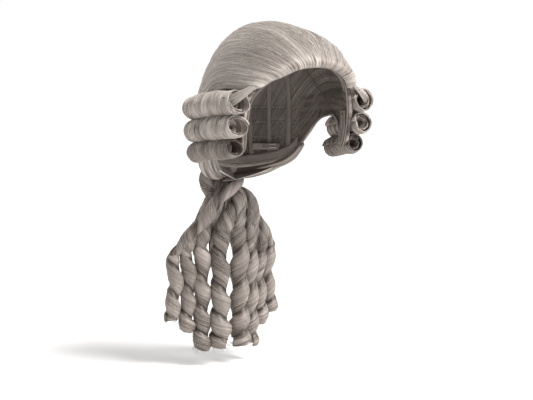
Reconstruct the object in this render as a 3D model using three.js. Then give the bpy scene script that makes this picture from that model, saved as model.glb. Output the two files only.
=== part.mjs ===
// Grey 18th-century style costume wig, in millimetres.
// +Z is up, the face opening looks along -Y and +X is the wearer's left.
// The origin is the middle of the head opening, level with the ear lobes.
//
// A stretch net cap carries sewn rows of hair. Hair shells lie over the cap,
// three hollow rolls are stitched along each side, and the nape hair is drawn
// to an elastic tie from which a fan of locks and eight spiral ringlets hang.

import * as THREE from 'three';

// ---------------------------------------------------------------- dimensions
const HEAD_A = 73;            // half width of the head inside the cap
const HEAD_B = 96;            // half length of the head inside the cap
const HEAD_C = 96;            // height of the crown above the widest level
const WIDE_Z = 45;            // height of the widest level
const LOW_C = 75;             // how quickly the head tucks in below that level
const TUCK = 0.6;
const CROWN_BACK = 15;        // the highest point sits behind the middle

const NET_T = 1.2;            // net cap thickness
const BAND_T = 1.0;           // hem and nape bands
const GAP = 0.6;              // clearance between sewn pieces inside the cap
const WEFT_IN = 1.75, WEFT_OUT = 2.9;
const HAIR_IN = 3.5;          // inner face of the hair shells
const HAIR_T = 9.5;           // usual outer face of the hair shells
const FRONT_PUFF = 6.5;       // extra fullness over the temples and forehead

const ROLL_WALL = 4.2;        // side rolls: wall, radii and axis points
const ROLLS = [
  { r: 12.9, pts: [[81.5, -50, 61.8], [89.3, -27, 60.0], [94.3, -2, 57.2], [94.0, 25, 53.4]] },
  { r: 12.2, pts: [[82.0, -48, 36.2], [89.5, -26, 34.4], [94.2, -2, 31.7], [93.7, 25, 27.9]] },
  { r: 10.9, pts: [[79.3, -36, 12.7], [86.6, -20, 11.2], [90.8, 2, 8.4], [90.3, 26, 4.4]] },
];

const TIE = [0, 114, -32];    // middle of the elastic tie
const TIE_R = 12.8, TIE_TUBE = 2.5;
const BALL_R = 9.5;

// Ringlets of the wearer's right half, from the middle outwards; the left half
// mirrors them. x, y of the axis, height of the swing point, bottom, radii.
const RINGLETS = [
  { x: 13.4, y: 106.5, top: -96, bottom: -239, r0: 10.0, r1: 11.8 },
  { x: 34.0, y: 115.5, top: -116, bottom: -243, r0: 9.0, r1: 9.2 },
  { x: 51.8, y: 120.5, top: -124, bottom: -219, r0: 7.9, r1: 8.3 },
  { x: 68.6, y: 125.0, top: -127, bottom: -206, r0: 7.6, r1: 8.3 },
];
const CURL_PITCH = 34;
const SOCKET = 6.0;           // radius of a ringlet's rounded top

// ------------------------------------------------------------------- helpers
const D = Math.PI / 180;
const lerp = (a, b, t) => a + (b - a) * t;
const clamp = (x, a, b) => Math.min(b, Math.max(a, x));
const smooth = (a, b, x) => { const t = clamp((x - a) / (b - a), 0, 1); return t * t * (3 - 2 * t); };

// Smooth interpolation through [x, y] keys.
function keyed(keys) {
  const n = keys.length, m = [];
  for (let i = 0; i < n; i++) {
    if (i === 0 || i === n - 1) { m.push(0); continue; }
    const d0 = (keys[i][1] - keys[i - 1][1]) / (keys[i][0] - keys[i - 1][0]);
    const d1 = (keys[i + 1][1] - keys[i][1]) / (keys[i + 1][0] - keys[i][0]);
    m.push(d0 * d1 <= 0 ? 0 : 2 * d0 * d1 / (d0 + d1));
  }
  return (x) => {
    if (x <= keys[0][0]) return keys[0][1];
    for (let i = 1; i < n; i++) {
      if (x <= keys[i][0]) {
        const h = keys[i][0] - keys[i - 1][0], t = (x - keys[i - 1][0]) / h;
        const t2 = t * t, t3 = t2 * t;
        return (2 * t3 - 3 * t2 + 1) * keys[i - 1][1] + (t3 - 2 * t2 + t) * h * m[i - 1]
          + (-2 * t3 + 3 * t2) * keys[i][1] + (t3 - t2) * h * m[i];
      }
    }
    return keys[n - 1][1];
  };
}

// A closed solid from a mapped box: f(u, v, w) with all three from 0 to 1.
// wrap joins u = 1 to u = 0.
function boxMap(f, nu, nv, nw = 1, wrap = false) {
  const pos = [], idx = [], seen = new Map();
  const vid = (i, j, k) => {
    const p = f((wrap ? i % nu : i) / nu, j / nv, k / nw);
    const s = p.map((c) => Math.round(c * 1000)).join(',');
    if (!seen.has(s)) { seen.set(s, pos.length / 3); pos.push(p[0], p[1], p[2]); }
    return seen.get(s);
  };
  const tri = (a, b, c) => { if (a !== b && b !== c && a !== c) idx.push(a, b, c); };
  const quad = (a, b, c, d) => { tri(a, b, c); tri(a, c, d); };
  for (let i = 0; i < nu; i++) {
    for (let j = 0; j < nv; j++) {
      quad(vid(i, j, nw), vid(i + 1, j, nw), vid(i + 1, j + 1, nw), vid(i, j + 1, nw));
      quad(vid(i, j, 0), vid(i, j + 1, 0), vid(i + 1, j + 1, 0), vid(i + 1, j, 0));
    }
    for (let k = 0; k < nw; k++) {
      quad(vid(i, nv, k), vid(i, nv, k + 1), vid(i + 1, nv, k + 1), vid(i + 1, nv, k));
      quad(vid(i, 0, k), vid(i + 1, 0, k), vid(i + 1, 0, k + 1), vid(i, 0, k + 1));
    }
  }
  if (!wrap) {
    for (let j = 0; j < nv; j++) {
      for (let k = 0; k < nw; k++) {
        quad(vid(nu, j, k), vid(nu, j + 1, k), vid(nu, j + 1, k + 1), vid(nu, j, k + 1));
        quad(vid(0, j, k), vid(0, j, k + 1), vid(0, j + 1, k + 1), vid(0, j + 1, k));
      }
    }
  }
  let vol = 0;
  for (let t = 0; t < idx.length; t += 3) {
    const [a, b, c] = [idx[t] * 3, idx[t + 1] * 3, idx[t + 2] * 3];
    vol += pos[a] * (pos[b + 1] * pos[c + 2] - pos[b + 2] * pos[c + 1])
      + pos[a + 1] * (pos[b + 2] * pos[c] - pos[b] * pos[c + 2])
      + pos[a + 2] * (pos[b] * pos[c + 1] - pos[b + 1] * pos[c]);
  }
  if (vol < 0) for (let t = 0; t < idx.length; t += 3) { const q = idx[t + 1]; idx[t + 1] = idx[t + 2]; idx[t + 2] = q; }
  const g = new THREE.BufferGeometry();
  g.setAttribute('position', new THREE.Float32BufferAttribute(pos, 3));
  g.setIndex(idx);
  g.computeVertexNormals();
  return g;
}

// A solid swept along a curve. radius(v) gives [half width, half height].
function sweep(points, radius, nu, nv, up = new THREE.Vector3(0, 0, 1)) {
  const curve = new THREE.CatmullRomCurve3(points.map((p) => new THREE.Vector3(...p)), false, 'centripetal');
  const rings = [];
  let side = null;
  for (let j = 0; j <= nv; j++) {
    const c = curve.getPointAt(j / nv), t = curve.getTangentAt(j / nv);
    if (!side) side = new THREE.Vector3().crossVectors(up, t).normalize();
    side.addScaledVector(t, -side.dot(t)).normalize();
    rings.push({ c, a: side.clone(), b: new THREE.Vector3().crossVectors(t, side) });
  }
  return (inner = 0) => boxMap((u, v, w) => {
    const q = rings[Math.round(v * nv)], [ra, rb] = radius(v);
    const ka = lerp(Math.max(0, inner ? ra - inner : 0), ra, w), kb = lerp(Math.max(0, inner ? rb - inner : 0), rb, w);
    const x = Math.cos(2 * Math.PI * u) * ka, y = Math.sin(2 * Math.PI * u) * kb;
    return [q.c.x + q.a.x * x + q.b.x * y, q.c.y + q.a.y * x + q.b.y * y, q.c.z + q.a.z * x + q.b.z * y];
  }, nu, nv, 1, true);
}

const group = new THREE.Group();
function add(name, geometry, color, roughness = 0.6, metalness = 0) {
  const mesh = new THREE.Mesh(geometry, new THREE.MeshStandardMaterial({ color, roughness, metalness }));
  mesh.name = name;
  group.add(mesh);
  return mesh;
}

const HAIR = 0xb0a8a0, HAIR_DARK = 0x8d837b, NET = 0x6d645d, BAND = 0x837971, THREAD = 0x2b2623, STEEL = 0x9a9a9c;

// ------------------------------------------------------------------ head form
// A point on the head form at azimuth phi (0 at the face, positive to the
// wearer's left), latitude th, and distance d outside the head.
function onHead(phi, th, d) {
  const s = Math.sin(th);
  const k = th >= 0 ? Math.cos(th) : Math.cos(th * TUCK);
  const z = WIDE_Z + (th >= 0 ? (HEAD_C + d) * s : LOW_C * s);
  const back = th > 0 ? CROWN_BACK * s * s * s : 0;
  return [(HEAD_A + d) * Math.sin(phi) * k, -(HEAD_B + d) * Math.cos(phi) * k + back, z];
}
const latitude = (z) => (z >= WIDE_Z ? Math.asin(clamp((z - WIDE_Z) / HEAD_C, 0, 1)) : -Math.asin(clamp((WIDE_Z - z) / LOW_C, 0, 1)));

// Cap edge height by azimuth in degrees: hairline, ear tab, ear arch, nape.
const rimZ = keyed([[0, 101], [10, 100.3], [20, 98], [28, 93.8], [35, 89.6], [43.5, 85], [49, 80], [55, 73], [59, 66], [61.5, 57], [63.2, 42], [64.8, 26],
  [66.6, 12], [69, 8], [73, 8], [77, 24], [82, 38], [89, 44], [99, 41], [109, 29], [119, 9], [130, -6], [147, -14], [180, -18]]);
// Lower edge of the side hair, just above the upper roll.
const sideZ = keyed([[0, 101], [10, 100.3], [20, 98], [28, 93.8], [35, 89.6], [43.5, 85], [49, 80], [54, 76.6], [58, 75.4], [64, 74.6], [80, 74], [100, 68.5], [112, 63], [122, 61], [180, 61]]);
const rim = (deg) => latitude(rimZ(Math.abs(deg)));
const sideLow = (deg) => latitude(sideZ(Math.abs(deg)));

// A patch of shell between two azimuths, from latitude lo(deg) to hi(deg),
// between distances din and dout(deg, th).
function patch(a0, a1, lo, hi, din, dout, nu, nv, wrap = false, cols = null) {
  return boxMap((u, v, w) => {
    const deg = cols ? cols[Math.round(u * nu)] : lerp(a0, a1, u), th = lerp(lo(deg), hi(deg), v);
    return onHead(deg * D, th, w ? (typeof dout === 'function' ? dout(deg, th) : dout) : din);
  }, nu, nv, 1, wrap);
}

// ---------------------------------------------------------------- foundation
const HALF = [8, 16, 24, 31, 37, 42, 47, 52, 56, 59, 61.2, 63.2, 64.6, 66.4, 69, 73, 75.2, 77.4, 80, 84.5, 91, 99, 106, 113, 120, 128, 137, 147, 158, 169];
const COLS = [-180, ...HALF.slice().reverse().map((a) => -a), 0, ...HALF, 180];
add('crown_net_cap', patch(0, 0, rim, () => Math.PI / 2, 0, NET_T, COLS.length - 1, 11, true, COLS), NET, 0.85);

// Hem band inside the front edge, from ear tab to ear tab.
const hemHi = (deg) => rim(deg) + 9 / 96;
add('front_hem_band', patch(-56.5, 56.5, (d) => rim(d) + 0.004, hemHi, -1.5 * GAP - BAND_T, -1.5 * GAP, 30, 2), BAND, 0.8);
// Elastic band inside the nape edge, from ear to ear.
add('nape_elastic_band', patch(121, 239, (d) => latitude(rimZ(180 - Math.abs(180 - d))) + 0.004,
  (d) => latitude(rimZ(180 - Math.abs(180 - d)) + 12), -1.5 * GAP - BAND_T, -1.5 * GAP, 24, 1), BAND, 0.8);

for (const [side, s] of [['right', -1], ['left', 1]]) {
  // Ear tab lining and the flat bendable stay sewn into it.
  add(`ear_tab_${side}`, patch(s * 64.6, s * 74, (d) => latitude(rimZ(Math.abs(d)) + 1), () => latitude(50), -1.5 * GAP - BAND_T, -1.5 * GAP, 5, 5), BAND, 0.8);
  add(`ear_tab_stay_${side}`, patch(s * 68.4, s * 71, () => latitude(12), () => latitude(47), -2.3 * GAP - BAND_T - 0.9, -2.3 * GAP - BAND_T, 1, 5), STEEL, 0.4, 0.8);
}

// Sewn rows of weft round the back of the cap.
[[122.5, 48], [122.5, 30], [124, 12], [136, -2]].forEach(([from, z], i) => {
  add(`weft_row_${i + 1}`, patch(from, 360 - from, () => latitude(z), () => latitude(z + 5), WEFT_IN, WEFT_OUT, 22, 1), HAIR_DARK, 0.8);
});

// --------------------------------------------------------------- hair shells
const CROWN_TH = 0.98;
const gapDeg = 0.28, gapTh = 0.0045;
function thick(deg, th) {
  const a = Math.abs(deg > 180 ? deg - 360 : deg);
  const rear = 2.6 * smooth(50, 110, a) * smooth(0.35, 0.8, th) * smooth(1.5, 1.15, th) + 1.2 * smooth(70, 120, a) * smooth(-0.1, 0.2, th) * smooth(0.8, 0.5, th);
  const puff = FRONT_PUFF * smooth(95, 50, a) * smooth(0.0, 0.5, th) * smooth(1.35, 0.75, th) * (0.45 + 0.55 * smooth(10, 40, a));
  return HAIR_T + 0.5 * smooth(60, 180, a) + puff + rear;
}
add('front_hair', patch(-45, 45, (d) => rim(d), () => CROWN_TH - gapTh, HAIR_IN, thick, 20, 9), HAIR, 0.5);
for (const [side, s] of [['right', -1], ['left', 1]]) {
  const lo = (d) => sideLow(d);
  const hair = (deg, th) => thick(deg, th) - 3.5 * smooth(0.45, 0.26, th) * smooth(48, 62, Math.abs(deg)) * smooth(126, 100, Math.abs(deg));
  add(`${side}_side_hair`, patch(s * (45 + gapDeg), s * 122, lo, () => CROWN_TH - gapTh, HAIR_IN, hair, 16, 8), HAIR, 0.5);
  // The sewn base that the rolls are stitched to, with the hair of the ear tab.
  add(`roll_base_${side}`, patch(s * 60, s * 121, (d) => latitude(Math.max(rimZ(Math.abs(d)), 8) + 0.4), (d) => sideLow(d) - gapTh, WEFT_IN, WEFT_IN + 2.0, 22, 4), HAIR_DARK, 0.7);
}
add('crown_hair', patch(-180, 180, () => CROWN_TH, () => Math.PI / 2, HAIR_IN, thick, 36, 4, true), HAIR, 0.5);
add('back_hair', patch(122 + gapDeg, 238 - gapDeg, () => latitude(33), () => CROWN_TH - gapTh, HAIR_IN, thick, 20, 9), HAIR, 0.5);
for (const [side, a0, a1] of [['left', 122 + gapDeg, 180 - gapDeg / 2], ['right', 180 + gapDeg / 2, 238 - gapDeg]]) {
  const abs = (d) => 180 - Math.abs(180 - d);
  add(`nape_hair_${side}`, patch(a0, a1, (d) => latitude(rimZ(abs(d)) - 3), () => latitude(33) - gapTh, HAIR_IN,
    (d, th) => HAIR_T + 0.5 - 4.5 * smooth(-0.5, -1.15, th) + 2 * smooth(140, 180, abs(d)) * smooth(-0.2, -0.9, th), 11, 6), HAIR, 0.55);
}

// --------------------------------------------------------------- side rolls
for (const [side, s] of [['right', -1], ['left', 1]]) {
  ROLLS.forEach((roll, i) => {
    const pts = roll.pts.map(([x, y, z]) => [s * x, y, z]);
    const radius = (v) => { const k = 1 - 0.05 * Math.pow(2 * v - 1, 6); return [roll.r * k, roll.r * k]; };
    add(`side_roll_${side}_${i + 1}`, sweep(pts, radius, 16, 7)(ROLL_WALL), HAIR, 0.5);
    // The stitch that closes the roll, across its bore near the front end.
    const curve = new THREE.CatmullRomCurve3(pts.map((p) => new THREE.Vector3(...p)), false, 'centripetal');
    const c = curve.getPointAt(0.12), t = curve.getTangentAt(0.12);
    const len = 2 * (roll.r * 0.98 - ROLL_WALL) * Math.cos(Math.PI / 16) - 1.0;
    const pin = add(`roll_stitch_${side}_${i + 1}`, new THREE.CylinderGeometry(0.5, 0.5, len, 8), THREAD, 0.7);
    pin.position.copy(c);
    const across = new THREE.Vector3(s * 0.75, 0, 0.35);
    across.addScaledVector(t, -across.dot(t)).normalize();
    pin.quaternion.setFromUnitVectors(new THREE.Vector3(0, 1, 0), across);
  });
}

// ------------------------------------------------------- adjusters at the nape
// A pocket tape on each side of the nape, and a wire hook that moves from
// pocket to pocket along it to tighten the cap.
for (const [side, s] of [['right', -1], ['left', 1]]) {
  const at = (deg, z) => { const q = onHead(deg * D, latitude(z), 0); return new THREE.Vector3(s * q[0], q[1], q[2]); };
  const p = at(151, 4);
  const x = at(154, 4).sub(at(148, 4)).normalize();                       // towards the middle of the nape
  const z = at(151, 8).sub(at(151, 0));
  z.addScaledVector(x, -z.dot(x)).normalize();
  const y = new THREE.Vector3().crossVectors(z, x);                       // through the cap
  const inward = new THREE.Vector3(-p.x, -p.y, 0).dot(y) > 0 ? 1 : -1;
  const frame = new THREE.Group();
  frame.matrixAutoUpdate = false;
  frame.matrix.makeBasis(x, y, z).setPosition(p);
  group.add(frame);
  const put = (name, g, colour, rough, metal, px, py, pz) => {
    const m = add(name, g, colour, rough, metal);
    m.position.set(px, py * inward, pz);
    frame.add(m);
  };
  put(`adjuster_pocket_tape_${side}`, new THREE.BoxGeometry(30, 0.8, 8), BAND, 0.8, 0, 0, 3.2, 0);
  put(`adjuster_strap_${side}`, new THREE.BoxGeometry(20, 0.7, 6.5), NET, 0.8, 0, -7, 4.4, 0);
  const hook = new THREE.Shape();
  hook.moveTo(-6, -2.6); hook.lineTo(4, -2.6); hook.lineTo(4, -1.4); hook.lineTo(-4.8, -1.4);
  hook.lineTo(-4.8, 1.4); hook.lineTo(4, 1.4); hook.lineTo(4, 2.6); hook.lineTo(-6, 2.6); hook.closePath();
  const wire = new THREE.ExtrudeGeometry(hook, { depth: 0.9, bevelEnabled: false });
  wire.translate(0, 0, -0.45);
  wire.rotateX(Math.PI / 2);
  put(`adjuster_hook_${side}`, wire, STEEL, 0.35, 0.9, -8, 5.6, 0);
}

// ----------------------------------------------------------------------- tail
// The nape hair is drawn back to a round neck that the elastic tie grips.
{
  const profile = [[0, -BALL_R]];
  for (let i = 1; i <= 9; i++) { const t = (-90 + i * 15) * D; profile.push([BALL_R * Math.cos(t), BALL_R * Math.sin(t)]); }
  profile.push([6.2, 9.5], [6.6, 16], [7.4, 23], [0, 23]);
  const lathe = new THREE.LatheGeometry(profile.map(([r, h]) => new THREE.Vector2(r, h)), 20);
  lathe.rotateX((90 + 42) * D);
  lathe.translate(...TIE);
  add('tail_neck', lathe, HAIR, 0.5);
  const ring = new THREE.TorusGeometry(TIE_R, TIE_TUBE, 8, 26);
  ring.rotateX(22 * D);
  ring.translate(...TIE);
  add('elastic_hair_tie', ring, THREAD, 0.85);
}
// Hair from the nape to the neck of the tail, in two flat swathes.
for (const [side, s] of [['right', -1], ['left', 1]]) {
  add(`nape_swathe_${side}`, sweep([[s * 33, 96.6, -3], [s * 25, 102.2, -9], [s * 14.5, 108.2, -15]],
    (v) => [lerp(9, 4.6, v), lerp(2.8, 3.6, v)], 12, 5, new THREE.Vector3(0, 1, 0.4))(), HAIR, 0.5);
}

// Gathered hair below the tie, spreading into a flat fan.
const GATHER_Z = TIE[2] - BALL_R - 1.1;
add('tail_gather', boxMap((u, v, w) => {
  const z = lerp(GATHER_Z, TIE[2] - 24, v);
  const hx = lerp(4.2, 31, smooth(0, 1, v)), hy = lerp(4.2, 8.5, smooth(0, 0.7, v));
  return [Math.cos(2 * Math.PI * u) * hx * w, TIE[1] + Math.sin(2 * Math.PI * u) * hy * w, z];
}, 24, 5, 1, true), HAIR, 0.5);

const ends = [];
for (const [side, s] of [['right', -1], ['left', 1]]) {
  RINGLETS.forEach((q, i) => {
    const h = [s * q.x, q.y, q.top];
    ends.push(h);
    const from = [s * (4.1 + 8.2 * i), TIE[1] - 2.5, TIE[2] - 24.5];
    // Lock of the fan, from the gathered hair down to the swing point.
    const stop = q.top + SOCKET + 0.6;
    add(`tail_lock_${side}_${i + 1}`, boxMap((u, v, w) => {
      const e = smooth(0, 1, v), z = lerp(from[2], stop, v);
      const r = lerp(3.7, Math.min(5.8, q.r0 - 0.6), smooth(0, 0.75, v)) * w;
      return [lerp(from[0], h[0], e) + Math.cos(2 * Math.PI * u) * r, lerp(from[1], h[1], e) + Math.sin(2 * Math.PI * u) * r, z];
    }, 10, 6, 1, true), HAIR, 0.5);
    // Spiral ringlet: a rounded top at the swing point, then a corkscrew.
    const n = Math.round((q.top - q.bottom) / 7) + 4;
    add(`ringlet_${side}_${i + 1}`, boxMap((u, v, w) => {
      const j = v * n;
      let z, r, off;
      if (j < 4) {
        const t = (90 - j * 90 / 4) * D;
        z = q.top + SOCKET * Math.sin(t); r = SOCKET * Math.cos(t); off = 0;
      } else {
        const e = (j - 4) / (n - 4);
        z = lerp(q.top, q.bottom, e);
        const full = lerp(q.r0, q.r1, smooth(0.5, 1, e));
        const grow = smooth(0, 0.13, e), end = 1 - 0.18 * smooth(0.93, 1, e);
        r = lerp(SOCKET, full * 0.9, grow) * end; off = full * 0.1 * grow;
      }
      const turn = s * 2 * Math.PI * (q.top - z) / CURL_PITCH + i;
      return [h[0] + off * Math.cos(turn) + Math.cos(2 * Math.PI * u) * r * w,
        h[1] + off * Math.sin(turn) + Math.sin(2 * Math.PI * u) * r * w, z];
    }, 10, n, 1, true), HAIR, 0.5);
  });
}
// A loose lock that loops over the tie on the wearer's right.
for (const [side, s] of [['right', -1]]) {
  add(`loop_lock_${side}`, sweep([[s * 17.5, TIE[1] + 1, -25], [s * 26, TIE[1] + 6, -32], [s * 32.5, TIE[1] + 7, -44], [s * 36.5, TIE[1] + 5, -56]],
    (v) => { const k = Math.sin(Math.PI * lerp(0.14, 0.88, v)); return [6.4 * k, 5.4 * k]; }, 12, 8, new THREE.Vector3(0, 1, 0.2))(), HAIR, 0.5);
}

export default group;
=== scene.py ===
import bpy
import math
import numpy as np
from mathutils import Vector, Matrix


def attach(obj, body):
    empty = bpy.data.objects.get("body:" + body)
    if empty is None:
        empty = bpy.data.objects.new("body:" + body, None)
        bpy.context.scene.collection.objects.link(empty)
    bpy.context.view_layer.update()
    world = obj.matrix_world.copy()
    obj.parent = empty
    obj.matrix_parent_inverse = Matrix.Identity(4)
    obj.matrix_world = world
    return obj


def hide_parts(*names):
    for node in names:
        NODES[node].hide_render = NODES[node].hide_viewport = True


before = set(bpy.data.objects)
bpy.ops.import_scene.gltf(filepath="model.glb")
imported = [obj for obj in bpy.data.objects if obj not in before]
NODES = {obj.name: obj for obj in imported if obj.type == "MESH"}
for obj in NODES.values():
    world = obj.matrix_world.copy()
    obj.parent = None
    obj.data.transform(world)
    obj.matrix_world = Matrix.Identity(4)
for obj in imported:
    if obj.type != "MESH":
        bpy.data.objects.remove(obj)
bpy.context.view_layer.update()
S = 0.001                      # the shapes below are worked out in millimetres
D = math.pi / 180

# ------------------------------------------------------------------ small maths


def smooth(a, b, x):
    t = np.clip((np.asarray(x, float) - a) / (b - a), 0.0, 1.0)
    return t * t * (3 - 2 * t)


def lerp(a, b, t):
    return a + (b - a) * t


_tables = {}


def _table(seed):
    if seed not in _tables:
        _tables[seed] = np.random.default_rng(seed).uniform(-1, 1, (128, 128))
    return _tables[seed]


def noise2(x, y, seed):
    """Smooth value noise, about -1 to 1."""
    t = _table(seed)
    x, y = np.broadcast_arrays(np.asarray(x, float), np.asarray(y, float))
    xi, yi = np.floor(x).astype(int), np.floor(y).astype(int)
    fx, fy = x - xi, y - yi
    fx, fy = fx * fx * (3 - 2 * fx), fy * fy * (3 - 2 * fy)
    a, b = t[xi % 128, yi % 128], t[(xi + 1) % 128, yi % 128]
    c, d = t[xi % 128, (yi + 1) % 128], t[(xi + 1) % 128, (yi + 1) % 128]
    return lerp(lerp(a, b, fx), lerp(c, d, fx), fy)


def unit(v):
    return v / (np.linalg.norm(v, axis=-1, keepdims=True) + 1e-12)


def keyed(keys):
    k = np.array(keys, float)
    x, y = k[:, 0], k[:, 1]
    h = np.diff(x)
    d = np.diff(y) / h
    m = np.zeros(len(x))
    for i in range(1, len(x) - 1):
        m[i] = 0 if d[i - 1] * d[i] <= 0 else 2 * d[i - 1] * d[i] / (d[i - 1] + d[i])

    def f(q):
        q = np.clip(np.asarray(q, float), x[0], x[-1])
        i = np.clip(np.searchsorted(x, q) - 1, 0, len(h) - 1)
        t = (q - x[i]) / h[i]
        t2, t3 = t * t, t * t * t
        return ((2 * t3 - 3 * t2 + 1) * y[i] + (t3 - 2 * t2 + t) * h[i] * m[i]
                + (-2 * t3 + 3 * t2) * y[i + 1] + (t3 - t2) * h[i] * m[i + 1])
    return f


def spline(points, n):
    """n points evenly spaced along a smooth curve through the given points."""
    p = np.array(points, float)
    q = np.vstack([2 * p[0] - p[1], p, 2 * p[-1] - p[-2]])
    out = []
    for i in range(1, len(q) - 2):
        t = np.linspace(0, 1, 24, endpoint=False)[:, None]
        a, b, c, d = q[i - 1], q[i], q[i + 1], q[i + 2]
        out.append(0.5 * (2 * b + (c - a) * t + (2 * a - 5 * b + 4 * c - d) * t ** 2 + (3 * b - a - 3 * c + d) * t ** 3))
    out = np.vstack(out + [p[-1:]])
    s = np.concatenate([[0], np.cumsum(np.linalg.norm(np.diff(out, axis=0), axis=1))])
    u = np.linspace(0, s[-1], n)
    return np.stack([np.interp(u, s, out[:, k]) for k in range(3)], 1)


def frames(path, ref):
    """Tangents and two side directions along a path, turning as little as possible."""
    t = unit(np.gradient(path, axis=0))
    a = np.array(ref, float)
    side = []
    for k in range(len(path)):
        a = a - t[k] * np.dot(a, t[k])
        a = a / np.linalg.norm(a)
        side.append(a)
    side = np.array(side)
    return t, side, np.cross(t, side)


# -------------------------------------------------------------------- head form
HEAD_A, HEAD_B, HEAD_C, WIDE_Z, LOW_C, TUCK, CROWN_BACK = 73.0, 96.0, 96.0, 45.0, 75.0, 0.6, 15.0
NET_T = 1.2
HAIR_T, FRONT_PUFF = 9.5, 6.5
rimZ = keyed([[0, 101], [10, 100.3], [20, 98], [28, 93.8], [35, 89.6], [43.5, 85], [49, 80], [55, 73], [59, 66], [61.5, 57],
              [63.2, 42], [64.8, 26], [66.6, 12], [69, 8], [73, 8], [77, 24], [82, 38], [89, 44], [99, 41], [109, 29], [119, 9], [130, -6], [147, -14], [180, -18]])


def latitude(z):
    z = np.asarray(z, float)
    return np.where(z >= WIDE_Z, np.arcsin(np.clip((z - WIDE_Z) / HEAD_C, 0, 1)), -np.arcsin(np.clip((WIDE_Z - z) / LOW_C, 0, 1)))


def on_head(deg, th, d):
    """Point on the head form at azimuth deg (0 at the face), latitude th, distance d outside."""
    phi = np.asarray(deg, float) * D
    s = np.sin(th)
    k = np.where(th >= 0, np.cos(th), np.cos(th * TUCK))
    z = WIDE_Z + np.where(th >= 0, (HEAD_C + d) * s, LOW_C * s)
    back = np.where(th > 0, CROWN_BACK * s ** 3, 0)
    x, y, z = np.broadcast_arrays((HEAD_A + d) * np.sin(phi) * k, -(HEAD_B + d) * np.cos(phi) * k + back, z)
    return np.stack([x, y, z], -1)


def thick(deg, th):
    a = np.abs(np.where(deg > 180, deg - 360, deg))
    rear = (2.6 * smooth(50, 110, a) * smooth(0.35, 0.8, th) * smooth(1.5, 1.15, th)
            + 1.2 * smooth(70, 120, a) * smooth(-0.1, 0.2, th) * smooth(0.8, 0.5, th))
    puff = FRONT_PUFF * smooth(95, 50, a) * smooth(0.0, 0.5, th) * smooth(1.35, 0.75, th) * (0.45 + 0.55 * smooth(10, 40, a))
    low = 3.5 * smooth(-0.35, -1.0, th)
    return HAIR_T + 0.5 * smooth(60, 180, a) + puff + rear - low


FLOW_C = np.array([0.0, 0.0, 65.0])
F_A = np.array([0.0, -1.0, 0.0])
U_A = np.array([0.0, 0.0, 1.0])
TILT = 41.6 * D
F_B = np.array([0.0, -math.cos(TILT), math.sin(TILT)])
U_B = np.array([0.0, math.sin(TILT), math.cos(TILT)])
W_ = np.array([1.0, 0.0, 0.0])


def flow_dir(al, be):
    """Direction from the middle of the head for combed-back hair: al is the line (0 over the top,
    90 degrees along the side), be runs from the forehead to the nape."""
    al, be = np.broadcast_arrays(np.asarray(al, float), np.asarray(be, float))
    ca, sa, cb, sb = (np.cos(al)[..., None], np.sin(al)[..., None], np.cos(be)[..., None], np.sin(be)[..., None])
    a = cb * F_A + sb * (ca * U_A + sa * W_)
    b = cb * F_B + sb * (ca * U_B + sa * W_)
    w = smooth(60 * D, 150 * D, be)[..., None]
    return unit(lerp(a, b, w))


def coords(p):
    """x, y and z of points p."""
    x, y, z = p[..., 0], p[..., 1], p[..., 2]
    return x, y, z


def level(p, d):
    x, y, z = coords(p)
    s_up = np.clip((z - WIDE_Z) / (HEAD_C + d), 0, 1.5)
    back = CROWN_BACK * np.minimum(s_up, 1) ** 3
    up = (x / (HEAD_A + d)) ** 2 + ((y - back) / (HEAD_B + d)) ** 2 + s_up ** 2
    s_dn = np.clip((WIDE_Z - z) / LOW_C, 0, 0.999)
    k = np.cos(np.arcsin(s_dn) * TUCK)
    dn = (x / ((HEAD_A + d) * k)) ** 2 + (y / ((HEAD_B + d) * k)) ** 2
    return np.where(z >= WIDE_Z, up, dn)


def az_lat(p, d):
    x, y, z = coords(p)
    s = np.clip((z - WIDE_Z) / (HEAD_C + d), 0, 1)
    y2 = y - CROWN_BACK * s ** 3
    deg = np.degrees(np.arctan2(x / (HEAD_A + d), -y2 / (HEAD_B + d)))
    th = np.where(z >= WIDE_Z, np.arcsin(s), -np.arcsin(np.clip((WIDE_Z - z) / LOW_C, 0, 1)))
    return deg, th


def cast(dirs, dist):
    """Where rays from the flow centre meet the surface dist outside the head. dist is a number,
    an array, or a function of azimuth and latitude."""
    lo = np.full(dirs.shape[:-1], 20.0)
    hi = np.full(dirs.shape[:-1], 260.0)
    for _ in range(22):
        mid = (lo + hi) / 2
        p = FLOW_C + dirs * mid[..., None]
        if callable(dist):
            deg, th = az_lat(p, 9.0)
            d = dist(deg, th)
        else:
            d = dist
        inside = level(p, d) < 1
        lo, hi = np.where(inside, mid, lo), np.where(inside, hi, mid)
    return FLOW_C + dirs * ((lo + hi) / 2)[..., None]


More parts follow.
